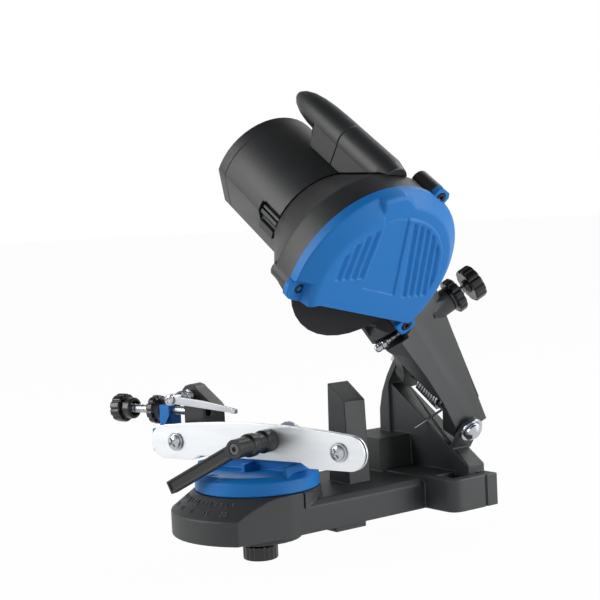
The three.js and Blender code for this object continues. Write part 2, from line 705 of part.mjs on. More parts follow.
// Adjuster: a long screw through the blue lug, with a lock knob and a turning knob at its outer end
const adjusterKnobPlace = -122.3;
const adjusterKnobRadius = 10;
const adjusterKnobHub = 7;
const adjusterKnobRim = 9.5;
const adjusterKnobHubLength = 6;
const lockKnobPlace = -91;
const lockKnobRimRadius = 10;
const lockKnobRim = 5;
const lockKnobHub = 6;
const knobFlutes = 10;
const knobFluteRadius = 1.3;
const knobBevel = 2.2;
const knobWall = 2;
const knobLand = 4;
const knobEdge = 1;
const adjusterEnd = -30;

const adjuster = new THREE.Group();
adjuster.position.set(0, -adjusterDepth, adjusterHeight);
vise.add(adjuster);

function adjusterKnob() {
  const outer = adjusterKnobPlace - adjusterKnobRim / 2;
  const inner = adjusterKnobPlace + adjusterKnobRim / 2;
  const end = inner + adjusterKnobHubLength;
  const body = turned([[0, outer], [adjusterKnobRadius - knobBevel, outer], [adjusterKnobRadius,
    outer + knobBevel],
    [adjusterKnobRadius, inner], [adjusterKnobHub, inner], [adjusterKnobHub, end], [0, end]]);
  const gripped = fluted(body, adjusterKnobRadius, outer, inner - knobLand, knobFlutes, knobFluteRadius);
  return cut(gripped, rod(adjusterRadius + gap, outer + knobWall, end + overrun, 14));
}
add(adjuster, 'adjuster_knob', alongRail(geometryOf(adjusterKnob())), knobPlastic);

function adjusterLockKnob() {
  const outer = lockKnobPlace - lockKnobRim / 2;
  const inner = lockKnobPlace + lockKnobRim / 2;
  const body = turned([[0, outer], [lockKnobRimRadius - knobEdge, outer], [lockKnobRimRadius,
    outer + knobEdge],
    [lockKnobRimRadius, inner], [lockKnobHub, lugLeft - gap], [0, lugLeft - gap]]);
  const gripped = fluted(body, lockKnobRimRadius, outer, inner - knobLand, knobFlutes, knobFluteRadius);
  return cut(gripped, rod(adjusterRadius + gap, outer - overrun, lugLeft, 14));
}
add(adjuster, 'adjuster_lock_knob', alongRail(geometryOf(adjusterLockKnob())), knobPlastic);
const adjusterStart = adjusterKnobPlace - adjusterKnobRim / 2 + knobWall + gap;
add(adjuster, 'adjuster_screw', alongRail(rod(adjusterRadius, adjusterStart, adjusterEnd, 14)), zincSteel);

// Hinge hardware on the bolt line
const hingeWasherThickness = 1.2;
const hingeWasherRadius = 9;
const hingeHeadRadius = 6.8;
const hingeHeadHeight = 4.6;
const hingeNut = 13;
const hingeNutHeight = 6.5;
const hingeTail = 2;
const hingeWasherFace = earOuter + gap;
const hingeHeadFace = hingeWasherFace + hingeWasherThickness + gap;
const hingeNutFace = hornOuter - gap;
const hingeEnd = hingeNutFace - hingeNutHeight - hingeTail;

add(hingeLine, 'hinge_bolt', turned([[0, hingeEnd], [boltRadius, hingeEnd], [boltRadius, hingeHeadFace],
  [hingeHeadRadius, hingeHeadFace], [hingeHeadRadius, hingeHeadFace + hingeHeadHeight / 2],
  [hingeHeadRadius / 2, hingeHeadFace + hingeHeadHeight], [0, hingeHeadFace + hingeHeadHeight]]),
  polishedSteel);
add(hingeLine, 'hinge_washer', ring(hingeWasherRadius, boltBore, hingeWasherFace,
  hingeWasherFace + hingeWasherThickness), blackCasting);
add(hingeLine, 'hinge_nut', cut(hexagon(hingeNut, hingeNutFace - hingeNutHeight, hingeNutFace),
  rod(boltBore, hingeEnd, 0, 16)), zincSteel);

// Arm: a black casting that stands upright beside the wheel plane and forks over the saddle.
// Its side outline goes by shares of its depth and height, and the fork by places in the wheel plane.
const armLeft = 18;
const armRight = 50;
const armFront = 66;
const armDepth = 97;
const armFoot = 44.5;
const armHeight = 123.5;
const armBackShares = [[1, 0.093], [0.598, 0.785], [0.526, 0.919]];
const armTopShares = [[0.268, 1], [0, 0.854], [0.041, 0.749]];
const armFrontShares = [[0.151, 0.633], [0.304, 0.487], [0.435, 0.368], [0.567, 0.23], [0.682, 0.079],
  [0.736, 0.012]];
const armFootShares = [[0.745, 0], [0.907, 0.068]];
const crotchLeft = -9;
const crotchRight = 40;
const crotchFront = 95;
const crotchFrontRise = 47.5;
const crotchKnee = 118;
const crotchRise = 29.5;
const legThickness = 11;
const legRight = earInner - gap;
const legLeft = hornInner + gap;
const rightBossRadius = 10;
const legWebShares = [[0.472, 0.48], [0.521, 0.574], [0.197, 0.669], [0.128, 0.499]];
const channelLeft = 22;
const channelRight = 32.5;
const channelDepth = 8;
const armReach = 200;

// Guard and motor sizes, round the wheel axis
const wheelRadius = wheelDiameter / 2;
const wheelClearance = 4;
const cavityClearance = 4.6;
const guardRim = 3.4;
const coverLip = 1;
const cavityRadius = wheelRadius + cavityClearance;
const guardRadius = cavityRadius + guardRim;
const coverRadius = guardRadius + coverLip;
const coverFront = 20;
const guardSplit = 6.7;
const webRear = -12;
const webFace = -8.5;
const bellEnd = -46;
const bellStep = 0.8;
const motorRadius = 40.8;
const bellEndRadius = motorRadius - bellStep;
const motorFront = bellEnd - gap;
const capFront = -110;
const motorEnd = -119.4;
const tabRadius = 6.2;
const tabHeight = 4.5;
const sideTabInset = 4.6;
const tabOutset = 1.6;
const tabPlaces = [
  { reach: guardRadius - sideTabInset, angle: THREE.MathUtils.degToRad(185) },
  { reach: guardRadius + tabOutset, angle: THREE.MathUtils.degToRad(61.9) },
  { reach: guardRadius + tabOutset, angle: THREE.MathUtils.degToRad(-42.6) },
].map(({ reach, angle }) => ({ x: reach * Math.cos(angle), y: reach * Math.sin(angle) }));

// Depth stop places in the wheel plane, along its own axis from the tip
const depthTipSetback = 40.3;
const depthTipDrop = 71.1;
const depthTipReach = wheelReach + depthTipSetback;
const depthTipRise = wheelRise - depthTipDrop;
const depthAngle = THREE.MathUtils.degToRad(37.5);
const depthScrewRadius = 3;
const depthBossRadius = 8.5;
const depthBossStart = 45;
const depthRingStart = 62;
const depthRingLength = 8;
const depthRingRadius = 12.2;
const depthKnobStart = 77.5;
const depthKnobLength = 9;
const depthKnobRadius = 12.2;
const depthBushRadius = 5;
const depthBushLength = 12;

const alongDepth = (shape) => shape.rotateY(Math.PI / 2).rotateZ(depthAngle)
  .translate(depthTipReach, depthTipRise, 0);

function armCasting() {
  const armPoint = ([deep, high]) => [armFront + armDepth * deep - turntableOffset,
    armFoot + armHeight * high];
  const front = armFrontShares.map(armPoint);
  const side = [...armBackShares.map(armPoint), ...armTopShares.map(armPoint), ...front,
    ...armFootShares.map(armPoint)];
  const slab = asSolid(toHead(acrossWidth(side, armLeft, armRight)));
  const boss = (radius, from, to) => atHinge(rod(radius, from, to, 20));
  const legPoint = ([ahead, up]) => [hingeReach + (wheelReach - hingeReach) * ahead,
    hingeRise + (wheelRise - hingeRise) * up];
  const legWeb = [[hingeReach - hingeBossRadius, hingeRise], ...legWebShares.map(legPoint),
    [hingeReach + hingeBossRadius, hingeRise]];
  const leftLeg = join(prism(legWeb, legLeft, legLeft + legThickness), boss(hingeBossRadius, legLeft,
    legLeft + legThickness));
  const crotch = prism([[crotchFront - armReach, crotchFrontRise], [crotchFront, crotchFrontRise],
    [crotchKnee, crotchRise], [armReach, crotchRise], [armReach, -armReach], [crotchFront - armReach,
    -armReach]],
  crotchLeft, crotchRight);
  const beyondLeg = block(-armReach, armReach, -armReach, armReach, legRight, armReach);
  const belowBoss = block(-armReach, armReach, -armReach, hingeRise - rightBossRadius, -armReach, armReach);
  const rightBoss = common(boss(rightBossRadius, crotchRight, legRight), toHead(block(-armReach, armRight,
    -armReach, armReach, -armReach, armReach)));
  const channelLow = atTurntable(block(channelLeft, channelRight, 0, depthTipReach, 0, armReach));
  const channelFloor = front.map(([y, z]) => [y + channelDepth, z]);
  const channel = common(toHead(channelLow), toHead(acrossWidth([...channelFloor, [-armReach, 0],
    [-armReach, armReach]], channelLeft, channelRight)));
  const depthBoss = alongDepth(rod(depthBossRadius, depthBossStart, depthRingStart - gap, 20));
  const wheelSpace = atSpindle(rod(wheelRadius + wheelClearance, crotchLeft, coverFront, 32));
  const coverSpace = atSpindle(rod(coverRadius + overrun, webRear, coverFront + overrun, 32));
  const tabSpaces = tabPlaces.map(({ x, y }) => atSpindle(rod(tabRadius + gap, webRear - gap,
    coverFront + overrun, 14).translate(x, y, 0)));
  const bellSpace = atSpindle(turned([[0, motorEnd], [motorRadius + gap, motorEnd], [motorRadius + gap,
    bellEnd],
    [bellEndRadius + gap * 2, bellEnd], [guardRadius + gap, webRear - gap], [guardRadius + gap, coverFront],
    [0, coverFront]], 32));
  const screwBore = alongDepth(rod(depthScrewRadius + gap, -overrun, depthRingStart + overrun, 14));
  const bushPocket = alongDepth(rod(depthBushRadius + gap, depthRingStart - depthBushLength - gap * 2,
    depthRingStart + overrun, 14));
  const boltHole = boss(boltBore, legLeft - overrun, legRight + overrun);
  const shell = join(cut(slab, crotch, beyondLeg, belowBoss, channel), leftLeg, rightBoss, depthBoss);
  return cut(shell, wheelSpace, coverSpace, ...tabSpaces, bellSpace, screwBore, bushPocket, boltHole);
}
add(head, 'arm_casting', armCasting(), blackCasting);

// Return spring: a stout torsion coil on a sleeve round the hinge bolt.
// One leg bears on the front edge of the saddle and the other stands under the roof of the fork.
const springWire = 1;
const springCoilRadius = 7.4;
const springPitch = 2.6;
const springEnd = 23.4;
const springTurns = 9.125;
const springFrontLeg = 27;
const springSleeveRadius = springCoilRadius * Math.cos(Math.PI / coilSteps) - springWire - gap;

function returnSpring() {
  const saddleFrontReach = hingeReach - (turntableOffset + footDepth / 2 - saddleDepth);
  const saddleFrontDrop = hingeRise - saddleRise;
  const cornerDistance = Math.hypot(saddleFrontReach, saddleFrontDrop);
  const cornerAngle = Math.atan2(-saddleFrontDrop, -saddleFrontReach);
  const legAngle = cornerAngle + Math.acos((springCoilRadius + springWire + gap) / cornerDistance);
  const coil = coilPoints(springCoilRadius, -springPitch, springTurns, legAngle);
  const heading = new THREE.Vector3(Math.sin(legAngle), -Math.cos(legAngle), 0);
  const tip = coil[0].clone().addScaledVector(heading, springFrontLeg);
  const end = coil[coil.length - 1];
  const roof = crotchRise - hingeRise - gap;
  const bend = new THREE.Vector3(end.x, roof - springWire * 3, end.z);
  const top = new THREE.Vector3(end.x, roof, end.z);
  return coilSpring('return_spring', [tip, ...coil, bend, top], springWire).translate(0, 0, springEnd);
}
add(hingeLine, 'return_spring', returnSpring(), springSteel);
add(hingeLine, 'spring_sleeve', ring(springSleeveRadius, boltBore,
  springEnd - springPitch * (springTurns + 1),
  springEnd + springPitch, 16), blackPlastic);

// Wheel: the stone between two flanges on the motor shaft
const wheelBore = 23;
const shaftRadius = 4;
const flangeRadius = 16;
const flangeThickness = 3;
const flangeSpigot = 11.2;
const wheelNut = 13;
const wheelNutHeight = 5;
const rimShoulder = 1;
const wheelHalf = wheelThickness / 2;
const outerFlangeFace = wheelHalf + gap + flangeThickness;
const shaftFront = outerFlangeFace + gap + wheelNutHeight + rimShoulder;

const stone = turned([[wheelBore / 2, -wheelHalf], [wheelRadius - rimShoulder, -wheelHalf],
  [wheelRadius, -wheelHalf + rimShoulder], [wheelRadius, wheelHalf - rimShoulder],
  [wheelRadius - rimShoulder, wheelHalf], [wheelBore / 2, wheelHalf], [wheelBore / 2, -wheelHalf]], 36);
add(spindle, 'grinding_wheel', stone, grindingStone);

const shaftBore = shaftRadius + gap;
const innerFlange = turned([[shaftBore, -wheelHalf - gap - flangeThickness],
  [flangeRadius - rimShoulder, -wheelHalf - gap - flangeThickness], [flangeRadius,
  -wheelHalf - gap - rimShoulder],
  [flangeRadius, -wheelHalf - gap], [flangeSpigot, -wheelHalf - gap], [flangeSpigot, wheelHalf - gap],
  [shaftBore, wheelHalf - gap], [shaftBore, -wheelHalf - gap - flangeThickness]], 28);
add(spindle, 'inner_flange', innerFlange, zincSteel);
const outerFlange = turned([[shaftBore, wheelHalf + gap], [flangeRadius, wheelHalf + gap],
  [flangeRadius, wheelHalf + gap + rimShoulder], [flangeRadius - rimShoulder, outerFlangeFace],
  [shaftBore, outerFlangeFace], [shaftBore, wheelHalf + gap]], 28);
add(spindle, 'outer_flange', outerFlange, zincSteel);
add(spindle, 'wheel_nut', cut(hexagon(wheelNut, outerFlangeFace + gap,
  outerFlangeFace + gap + wheelNutHeight),
  rod(shaftBore, 0, shaftFront + overrun)), zincSteel);

// Wheel guard: a black bell behind the wheel and a blue cover in front, both cut off below along a sloping
// line.
// The motor can and the foot of the bell have two long flats on their lower side.
const guardWall = 3;
const shoulderInset = 1.5;
const guardShoulder = guardRadius - shoulderInset;
const bellMouth = 14;
const cutSlope = THREE.MathUtils.degToRad(-14.7);
const coverCut = { drop: 33.3, lean: THREE.MathUtils.degToRad(-26.2) };
const bellCut = { drop: 26.9, lean: THREE.MathUtils.degToRad(17.2) };
const cutHubRadius = 44;
const flatDepth = 5.9;
const flatAngles = [THREE.MathUtils.degToRad(208.6), THREE.MathUtils.degToRad(234)];
const coverWall = 2.5;
const coverBack = guardSplit + gap;
const coverRimHeight = 4;
const bevelWidth = 9.5;
const bevelDrop = 1.5;
const faceInset = 15.5;
const bevelInner = coverRadius - bevelWidth;
const faceRadius = coverRadius - faceInset;
const valleyRim = 2;
const valleyInset = 14;
const valleyDrop = 7.4;
const valleyOuter = coverRadius - valleyRim;
const valleyInner = coverRadius - valleyInset;
const valleyFloor = coverFront - valleyDrop;
const valleyFrom = THREE.MathUtils.degToRad(110);
const valleyTo = THREE.MathUtils.degToRad(200);
const panelRecess = 0.8;
const panelShares = [[-0.246, 0.7], [-0.24, -0.04], [0.227, -0.16], [0.03, 0.754]];
const ribRecess = 1.2;
const ribWidth = 1.3;
const rightRibs = { count: 5, place: 16.4, level: 15, pitch: 5.4, lean: THREE.MathUtils.degToRad(15),
  foot: -12 };
const leftRibs = { count: 4, place: -37.4, level: 15, pitch: 5.9, lean: 0, foot: 5.5 };
const ribFieldInset = 4;
const guardScrewRadius = 2;
const guardScrewHead = 3.4;
const guardScrewHeadHeight = 3;
const guardScrewSocket = 3;

const below = ({ drop, lean }) => block(-armReach, armReach, -armReach, 0, -armReach, armReach)
  .rotateX(lean).translate(0, -drop, 0).rotateZ(cutSlope);

const beyondFlats = (inset) => flatAngles.map((angle) => block(motorRadius - flatDepth - inset, armReach,
  -armReach, armReach, motorEnd - overrun, webRear).rotateZ(angle));

function guardBack() {
  const bell = turned([[bellMouth, webRear], [guardShoulder - guardWall, webRear],
    [bellEndRadius - guardWall, bellEnd], [bellEndRadius, bellEnd], [guardShoulder, webRear],
    [guardRadius, webFace], [guardRadius, guardSplit], [cavityRadius, guardSplit], [cavityRadius, webFace],
    [bellMouth, webFace], [bellMouth, webRear]], 36);
  const foot = cut(rod(cutHubRadius, bellEnd - overrun, webFace, 32), ...beyondFlats(0));
  const openBelow = cut(below(bellCut), foot);
  const bosses = tabPlaces.map(({ x, y }) => rod(tabRadius, webRear, guardSplit, 14).translate(x, y, 0));
  const holes = tabPlaces.map(({ x, y }) => rod(guardScrewRadius + gap, webRear / 2, guardSplit + overrun, 12)
    .translate(x, y, 0));
  const cavity = rod(cavityRadius, webFace, guardSplit + overrun, 36);
  return cut(join(cut(bell, openBelow), ...bosses), ...holes, cavity);
}
add(spindle, 'guard_back', guardBack(), blackPlastic);

function sector(radius, from, to, back, front) {
  const wedge = new THREE.Shape();
  wedge.moveTo(0, 0);
  wedge.absarc(0, 0, radius, from, to, false);
  return prism(wedge, back, front, 16);
}

// A field of parallel grooves in the face of the cover, clipped to the round field and to a level below
function ribField({ count, place, level, pitch, lean, foot }) {
  const grooves = Array.from({ length: count }, (_, i) => block(-ribWidth / 2, ribWidth / 2, -armReach,
    armReach,
    coverFront - ribRecess, coverFront + overrun).rotateZ(lean).translate(place + pitch * i, level, 0));
  const field = cut(rod(faceRadius - ribFieldInset, 0, coverFront + overrun, 36),
    block(-armReach, armReach, -armReach, foot, -overrun, coverFront + overrun * 2));
  return common(join(...grooves), field);
}

function guardCover() {
  const rimTop = coverBack + coverRimHeight;
  const outside = [[0, coverBack], [coverRadius, coverBack], [coverRadius, rimTop],
    [bevelInner, coverFront - bevelDrop], [faceRadius, coverFront - bevelDrop],
    [faceRadius - bevelDrop, coverFront], [0, coverFront]];
  const inside = [[0, coverBack - overrun], [coverRadius - coverWall, coverBack - overrun],
    [coverRadius - coverWall, rimTop], [bevelInner, coverFront - bevelDrop - coverWall],
    [0, coverFront - bevelDrop - coverWall]];
  const valley = cut(sector(valleyOuter, valleyFrom, valleyTo, valleyFloor, coverFront + overrun),
    rod(valleyInner, 0, coverFront + overrun * 2, 36));
  const wallTurn = coverWall / valleyInner;
  const valleyBack = cut(sector(coverRadius, valleyFrom - wallTurn, valleyTo + wallTurn,
    valleyFloor - coverWall,
    coverFront), rod(valleyInner - coverWall, 0, coverFront + overrun, 36));
  const room = cut(turned(inside, 36), valleyBack);
  const panel = prism(panelShares.map(([across, up]) => [coverRadius * across, coverRadius * up]),
    coverFront - panelRecess, coverFront + overrun);
  const shell = cut(turned(outside, 36), room, valley, panel, ribField(rightRibs), ribField(leftRibs),
    below(coverCut));
  const tabs = tabPlaces.map(({ x, y }) => rod(tabRadius, coverBack, coverBack + tabHeight,
    14).translate(x, y, 0));
  const holes = tabPlaces.map(({ x, y }) => rod(guardScrewRadius + gap, coverBack - overrun,
    coverBack + tabHeight + overrun, 12).translate(x, y, 0));
  const sinks = tabPlaces.map(({ x, y }) => rod(guardScrewHead + gap,
    coverBack + tabHeight - guardScrewHeadHeight,
    coverFront + overrun, 12).translate(x, y, 0));
  return cut(join(shell, cut(join(...tabs), room)), ...holes, ...sinks);
}
add(spindle, 'guard_cover', guardCover(), bluePlastic);

tabPlaces.forEach(({ x, y }, i) => {
  const headBottom = coverBack + tabHeight - guardScrewHeadHeight + gap;
  const screw = cut(join(rod(guardScrewRadius, webRear / 2 + gap, headBottom, 12),
    rod(guardScrewHead, headBottom, headBottom + guardScrewHeadHeight, 12)),
  hexagon(guardScrewSocket, headBottom + guardScrewHeadHeight / 2,
  headBottom + guardScrewHeadHeight + overrun));
  add(spindle, `guard_screw_${i + 1}`, geometryOf(screw).translate(x, y, 0), zincSteel);
});

// Depth stop: a screw through the arm whose tip meets the post, with a lock ring and a knob behind
const depthStop = new THREE.Group();
depthStop.position.set(depthTipReach, depthTipRise, 0);
depthStop.rotation.set(0, Math.PI / 2, depthAngle, 'ZYX');
head.add(depthStop);
const depthTipChamfer = 0.8;
const depthScrewEnd = depthKnobStart + depthKnobLength - overrun;
const depthHub = 7.5;
const depthHubLength = 3.5;
const depthFlutes = 12;
const depthFluteRadius = 1.1;

add(depthStop, 'depth_screw', turned([[0, 0], [depthScrewRadius - depthTipChamfer, 0],
  [depthScrewRadius, depthTipChamfer], [depthScrewRadius, depthScrewEnd], [0, depthScrewEnd]], 16),
  zincSteel);
add(depthStop, 'depth_bush', ring(depthBushRadius, depthScrewRadius + gap,
  depthRingStart - depthBushLength - gap,
  depthRingStart - gap, 16), brass);

function depthLockRing() {
  const end = depthRingStart + depthRingLength;
  const body = turned([[0, depthRingStart], [depthHub, depthRingStart], [depthRingRadius - overrun / 2,
    depthRingStart + overrun], [depthRingRadius, depthRingStart + overrun * 2], [depthRingRadius,
    end - overrun / 2],
    [depthRingRadius - overrun / 2, end], [0, end]]);
  const gripped = fluted(body, depthRingRadius, depthRingStart + overrun * 2, end, depthFlutes,
    depthFluteRadius);
  return cut(gripped, rod(depthScrewRadius + gap, depthRingStart - overrun, end + overrun, 14));
}
add(depthStop, 'depth_lock_ring', depthLockRing(), knobPlastic);

function depthKnob() {
  const end = depthKnobStart + depthKnobLength;
  const body = turned([[0, depthKnobStart - depthHubLength], [depthHub, depthKnobStart - depthHubLength],
    [depthHub, depthKnobStart], [depthKnobRadius, depthKnobStart], [depthKnobRadius, end - overrun / 2],
    [depthKnobRadius - overrun / 2, end], [0, end]]);
  const gripped = fluted(body, depthKnobRadius, depthKnobStart, end, depthFlutes, depthFluteRadius);
  return cut(gripped, rod(depthScrewRadius + gap, depthKnobStart - depthHubLength - overrun,
    depthScrewEnd + gap, 14));
}
add(depthStop, 'depth_knob', depthKnob(), knobPlastic);

// Motor housing: a can behind the bell, open at both ends, with the flats along its lower side,
// an inner seat for the magnets and a clip in a short channel
const motorWall = 3;
const clipWidth = 3.4;
const clipChannel = 8;
const clipChannelDepth = 2;
const clipLength = 18;
const clipAngle = THREE.MathUtils.degToRad(171.5);
const padWidth = 26;
const padLength = 38;
const padReach = 44.5;
const padAngle = THREE.MathUtils.degToRad(14);
const padCentre = -84;
const bezelWidth = 18;
const bezelLength = 28;
const bezelHeight = 1.6;
const rockerWidth = 12;
const rockerLength = 20;
const rockerRise = 3;
const rockerDepth = 9;
const glandAngle = THREE.MathUtils.degToRad(-62);
const glandPlace = -100;
const glandRadius = 5.5;
const glandLength = 12;
const glandFlange = 8;
const glandBore = 3.4;
const motorInner = motorRadius - motorWall;
const statorRadius = motorRadius - flatDepth - motorWall;
const armatureBack = -87;
const armatureFront = -50;

const onMotor = (shape, angle) => shape.rotateZ(angle);

function motorHousing() {
  const pad = onMotor(block(motorInner, padReach, -padWidth / 2, padWidth / 2, padCentre - padLength / 2,
    padCentre + padLength / 2), padAngle);
  const body = cut(join(rod(motorRadius, capFront, motorFront, 48), pad), ...beyondFlats(0));
  const room = cut(rod(motorInner, capFront - overrun, motorFront + overrun, 48), ...beyondFlats(motorWall));
  const seat = cut(ring(motorInner + motorWall / 2, statorRadius, armatureBack, armatureFront, 40),
    ...beyondFlats(motorWall / 2));
  const channel = onMotor(block(motorRadius - clipChannelDepth, armReach, -clipChannel / 2, clipChannel / 2,
    motorFront - clipLength, motorFront + overrun), clipAngle);
  const clip = onMotor(block(motorInner, motorRadius - clipChannelDepth / 4, -clipWidth / 2, clipWidth / 2,
    motorFront - clipLength, motorFront), clipAngle);
  const window = onMotor(block(0, padReach + overrun, -rockerWidth / 2 - gap * 2, rockerWidth / 2 + gap * 2,
    padCentre - rockerLength / 2 - gap * 2, padCentre + rockerLength / 2 + gap * 2), padAngle);
  const cordHole = onMotor(rod(glandRadius + gap, 0, motorRadius + overrun, 14).rotateY(Math.PI / 2)
    .translate(0, 0, glandPlace), glandAngle);
  return cut(join(cut(body, room, channel), seat, clip), window, cordHole);
}
add(spindle, 'motor_housing', motorHousing(), blackPlastic);

// Rear cap: a dished end with rows of air slots
const capWall = 2.5;
const capRound = 1;
const capSlots = 9;
const capSlotWidth = 2.4;
const capSlotInner = 14;
const capSlotOuter = 30;
const capBack = capFront - gap;

function rearCap() {
  const outside = cut(turned([[0, motorEnd], [motorRadius - capRound, motorEnd], [motorRadius,
    motorEnd + capRound],
    [motorRadius, capBack], [0, capBack]], 48), ...beyondFlats(0));
  const inside = cut(rod(motorInner, motorEnd + capWall, capBack + overrun, 48), ...beyondFlats(motorWall));
  const shell = cut(outside, inside);
  const slots = Array.from({ length: capSlots }, (_, i) => block(capSlotInner, capSlotOuter,
    -capSlotWidth / 2,
    capSlotWidth / 2, motorEnd - overrun,
    motorEnd + capWall + overrun).rotateZ((2 * Math.PI * i) / capSlots));
  const bearingSeat = ring(bearingRadius + gap + capWall, bearingRadius + gap, motorEnd + capWall / 2,
    motorEnd + capWall + bearingWidth, 24);
  return cut(join(shell, bearingSeat), ...slots);
}

// Motor: shaft, wound armature, commutator, magnets, brushes, fan and bearings
const bearingRadius = 11;
const bearingWidth = 7;
const bearingBore = shaftRadius + gap;
const rearBearingBack = motorEnd + capWall + gap;
const shaftEnd = rearBearingBack + gap;
const frontBearingBack = webRear - bearingWidth - gap * 2;
const armatureRadius = 22;
const armatureSlots = 8;
const armatureSlotWidth = 2.6;
const armatureSlotDepth = 7;
const windingRadius = 18;
const windingLength = 7;
const commutatorRadius = 10;
const commutatorLength = 12;
const airGap = 1.2;
const magnetInner = armatureRadius + airGap;
const magnetOuter = statorRadius - gap;
const magnetAngle = THREE.MathUtils.degToRad(62);
const fanRadiusOuter = 30;
const fanHub = 9;
const fanPlate = 2;
const fanBladeHeight = 8;
const fanBlades = 7;
const fanBladeWidth = 2;
const fanPlace = -34;
const brushWidth = 5;
const brushHolder = 9;
const brushTurn = THREE.MathUtils.degToRad(6);

add(spindle, 'rear_cap', rearCap(), blackPlastic);
add(spindle, 'motor_shaft', rod(shaftRadius, shaftEnd, shaftFront), polishedSteel);

const bearing = (back) => ring(bearingRadius, bearingBore, back, back + bearingWidth, 20);
add(spindle, 'rear_bearing', bearing(rearBearingBack), polishedSteel);
add(spindle, 'front_bearing', bearing(frontBearingBack), polishedSteel);

function armature() {
  const stack = ring(armatureRadius, bearingBore, armatureBack, armatureFront, 32);
  const windings = ring(windingRadius, bearingBore, armatureBack - windingLength,
    armatureFront + windingLength, 24);
  const slots = Array.from({ length: armatureSlots }, (_, i) => block(armatureRadius - armatureSlotDepth,
    armatureRadius + overrun, -armatureSlotWidth / 2, armatureSlotWidth / 2, armatureBack - overrun,
    armatureFront + overrun).rotateZ((2 * Math.PI * i) / armatureSlots));
  return join(cut(stack, ...slots), cut(windings, rod(armatureRadius - armatureSlotDepth, armatureBack,
    armatureFront, 24)));
}
add(spindle, 'armature', armature(), laminatedSteel);
const commutatorFront = armatureBack - windingLength - gap;
add(spindle, 'commutator', ring(commutatorRadius, bearingBore, commutatorFront - commutatorLength,
  commutatorFront,
  24), copper);

function magnet(side) {
  const shape = new THREE.Shape();
  shape.absarc(0, 0, magnetOuter, side - magnetAngle, side + magnetAngle, false);
  shape.absarc(0, 0, magnetInner, side + magnetAngle, side - magnetAngle, true);
  return prism(shape, armatureBack, armatureFront, 12);
}
add(spindle, 'magnet_lower', magnet(-Math.PI / 2), magnetCeramic);
add(spindle, 'magnet_upper', magnet(Math.PI / 2), magnetCeramic);

function coolingFan() {
  const plate = ring(fanRadiusOuter, bearingBore, fanPlace, fanPlace + fanPlate, 28);
  const hub = ring(fanHub, bearingBore, fanPlace, fanPlace + fanBladeHeight, 16);
  const blades = Array.from({ length: fanBlades }, (_, i) => block(fanHub - fanBladeWidth,
    fanRadiusOuter - fanBladeWidth,
    -fanBladeWidth / 2, fanBladeWidth / 2, fanPlace + fanPlate / 2, fanPlace + fanBladeHeight)
    .rotateZ((2 * Math.PI * i) / fanBlades));
  return join(plate, hub, ...blades);
}
add(spindle, 'cooling_fan', coolingFan(), blackPlastic);

const commutatorMiddle = commutatorFront - commutatorLength / 2;
const brushReach = Math.sqrt((motorInner - gap) ** 2 - (brushHolder / 2) ** 2);
for (const [name, angle] of [['brush_upper', brushTurn + Math.PI / 2], ['brush_lower',
  brushTurn - Math.PI / 2]]) {
  const holder = block(commutatorRadius + overrun, brushReach, -brushHolder / 2, brushHolder / 2,
    commutatorMiddle - brushHolder / 2, commutatorMiddle + brushHolder / 2);
  const carbon = block(commutatorRadius + gap, motorInner - overrun, -brushWidth / 2, brushWidth / 2,
    commutatorMiddle - brushWidth / 2, commutatorMiddle + brushWidth / 2);
  add(spindle, name, geometryOf(join(holder, carbon)).rotateZ(angle), brass);
}

// Switch: a bezel on the pad of the motor housing with a rocker in it
function switchBezel() {
  const plate = block(padReach + gap, padReach + gap + bezelHeight, -bezelWidth / 2, bezelWidth / 2,
    padCentre - bezelLength / 2, padCentre + bezelLength / 2);
  const window = block(padReach - overrun, padReach + bezelHeight + overrun, -rockerWidth / 2 - gap * 2,
    rockerWidth / 2 + gap * 2, padCentre - rockerLength / 2 - gap * 2,
    padCentre + rockerLength / 2 + gap * 2);
  return onMotor(geometryOf(cut(plate, window)), padAngle);
}
add(spindle, 'switch_bezel', switchBezel(), knobPlastic);

function rocker() {
  const outline = new THREE.Shape();
  const half = rockerLength / 2 - gap;
  outline.moveTo(padReach - rockerDepth, half / 2);
  outline.lineTo(padReach - rockerDepth, -half / 2);
  outline.lineTo(padReach + bezelHeight, -half);
  outline.lineTo(padReach + bezelHeight + rockerRise / 2, -half);
  outline.quadraticCurveTo(padReach + bezelHeight, 0, padReach + bezelHeight + rockerRise, half);
  outline.lineTo(padReach + bezelHeight, half);
  const body = acrossDepth([...outline.getPoints(6)].map(({ x, y }) => [x, y]), -rockerWidth / 2,
    rockerWidth / 2);
  return onMotor(body.translate(0, 0, padCentre), padAngle);
}
add(spindle, 'power_switch', rocker(), knobPlastic);

// Cord gland: a flanged sleeve in the side of the housing
const gland = turned([[glandBore, motorInner - overrun], [glandRadius, motorInner - overrun],
  [glandRadius, motorRadius + gap], [glandFlange, motorRadius + gap], [glandFlange,
  motorRadius + gap + overrun],
  [glandRadius, motorRadius + gap + overrun * 2], [glandBore + overrun / 2, motorRadius + glandLength],
  [glandBore, motorRadius + glandLength], [glandBore, motorInner - overrun]], 16).rotateY(Math.PI / 2);
add(spindle, 'cable_gland', onMotor(gland.translate(0, 0, glandPlace), glandAngle), knobPlastic);

// Handle: two moulded halves above the motor on a web of their own width, the rear one rounded like a bullet
const handleReach = 5.5;
const handleRise = 58;
const handleRadius = 11;
const handleFront = -6.5;
const handleFrontRadius = 9;
const handleShoulder = -16;
const handleSeam = -56;
const handleTip = -118.5;
const handleTipShares = [[1, 0], [1, 0.25], [0.97, 0.46], [0.9, 0.63], [0.77, 0.78], [0.55, 0.9], [0.3,
  0.975],
  [0, 1]];
const handleWebWidth = 21;
const handleWebFoot = -71;
const handleWebTop = -84;

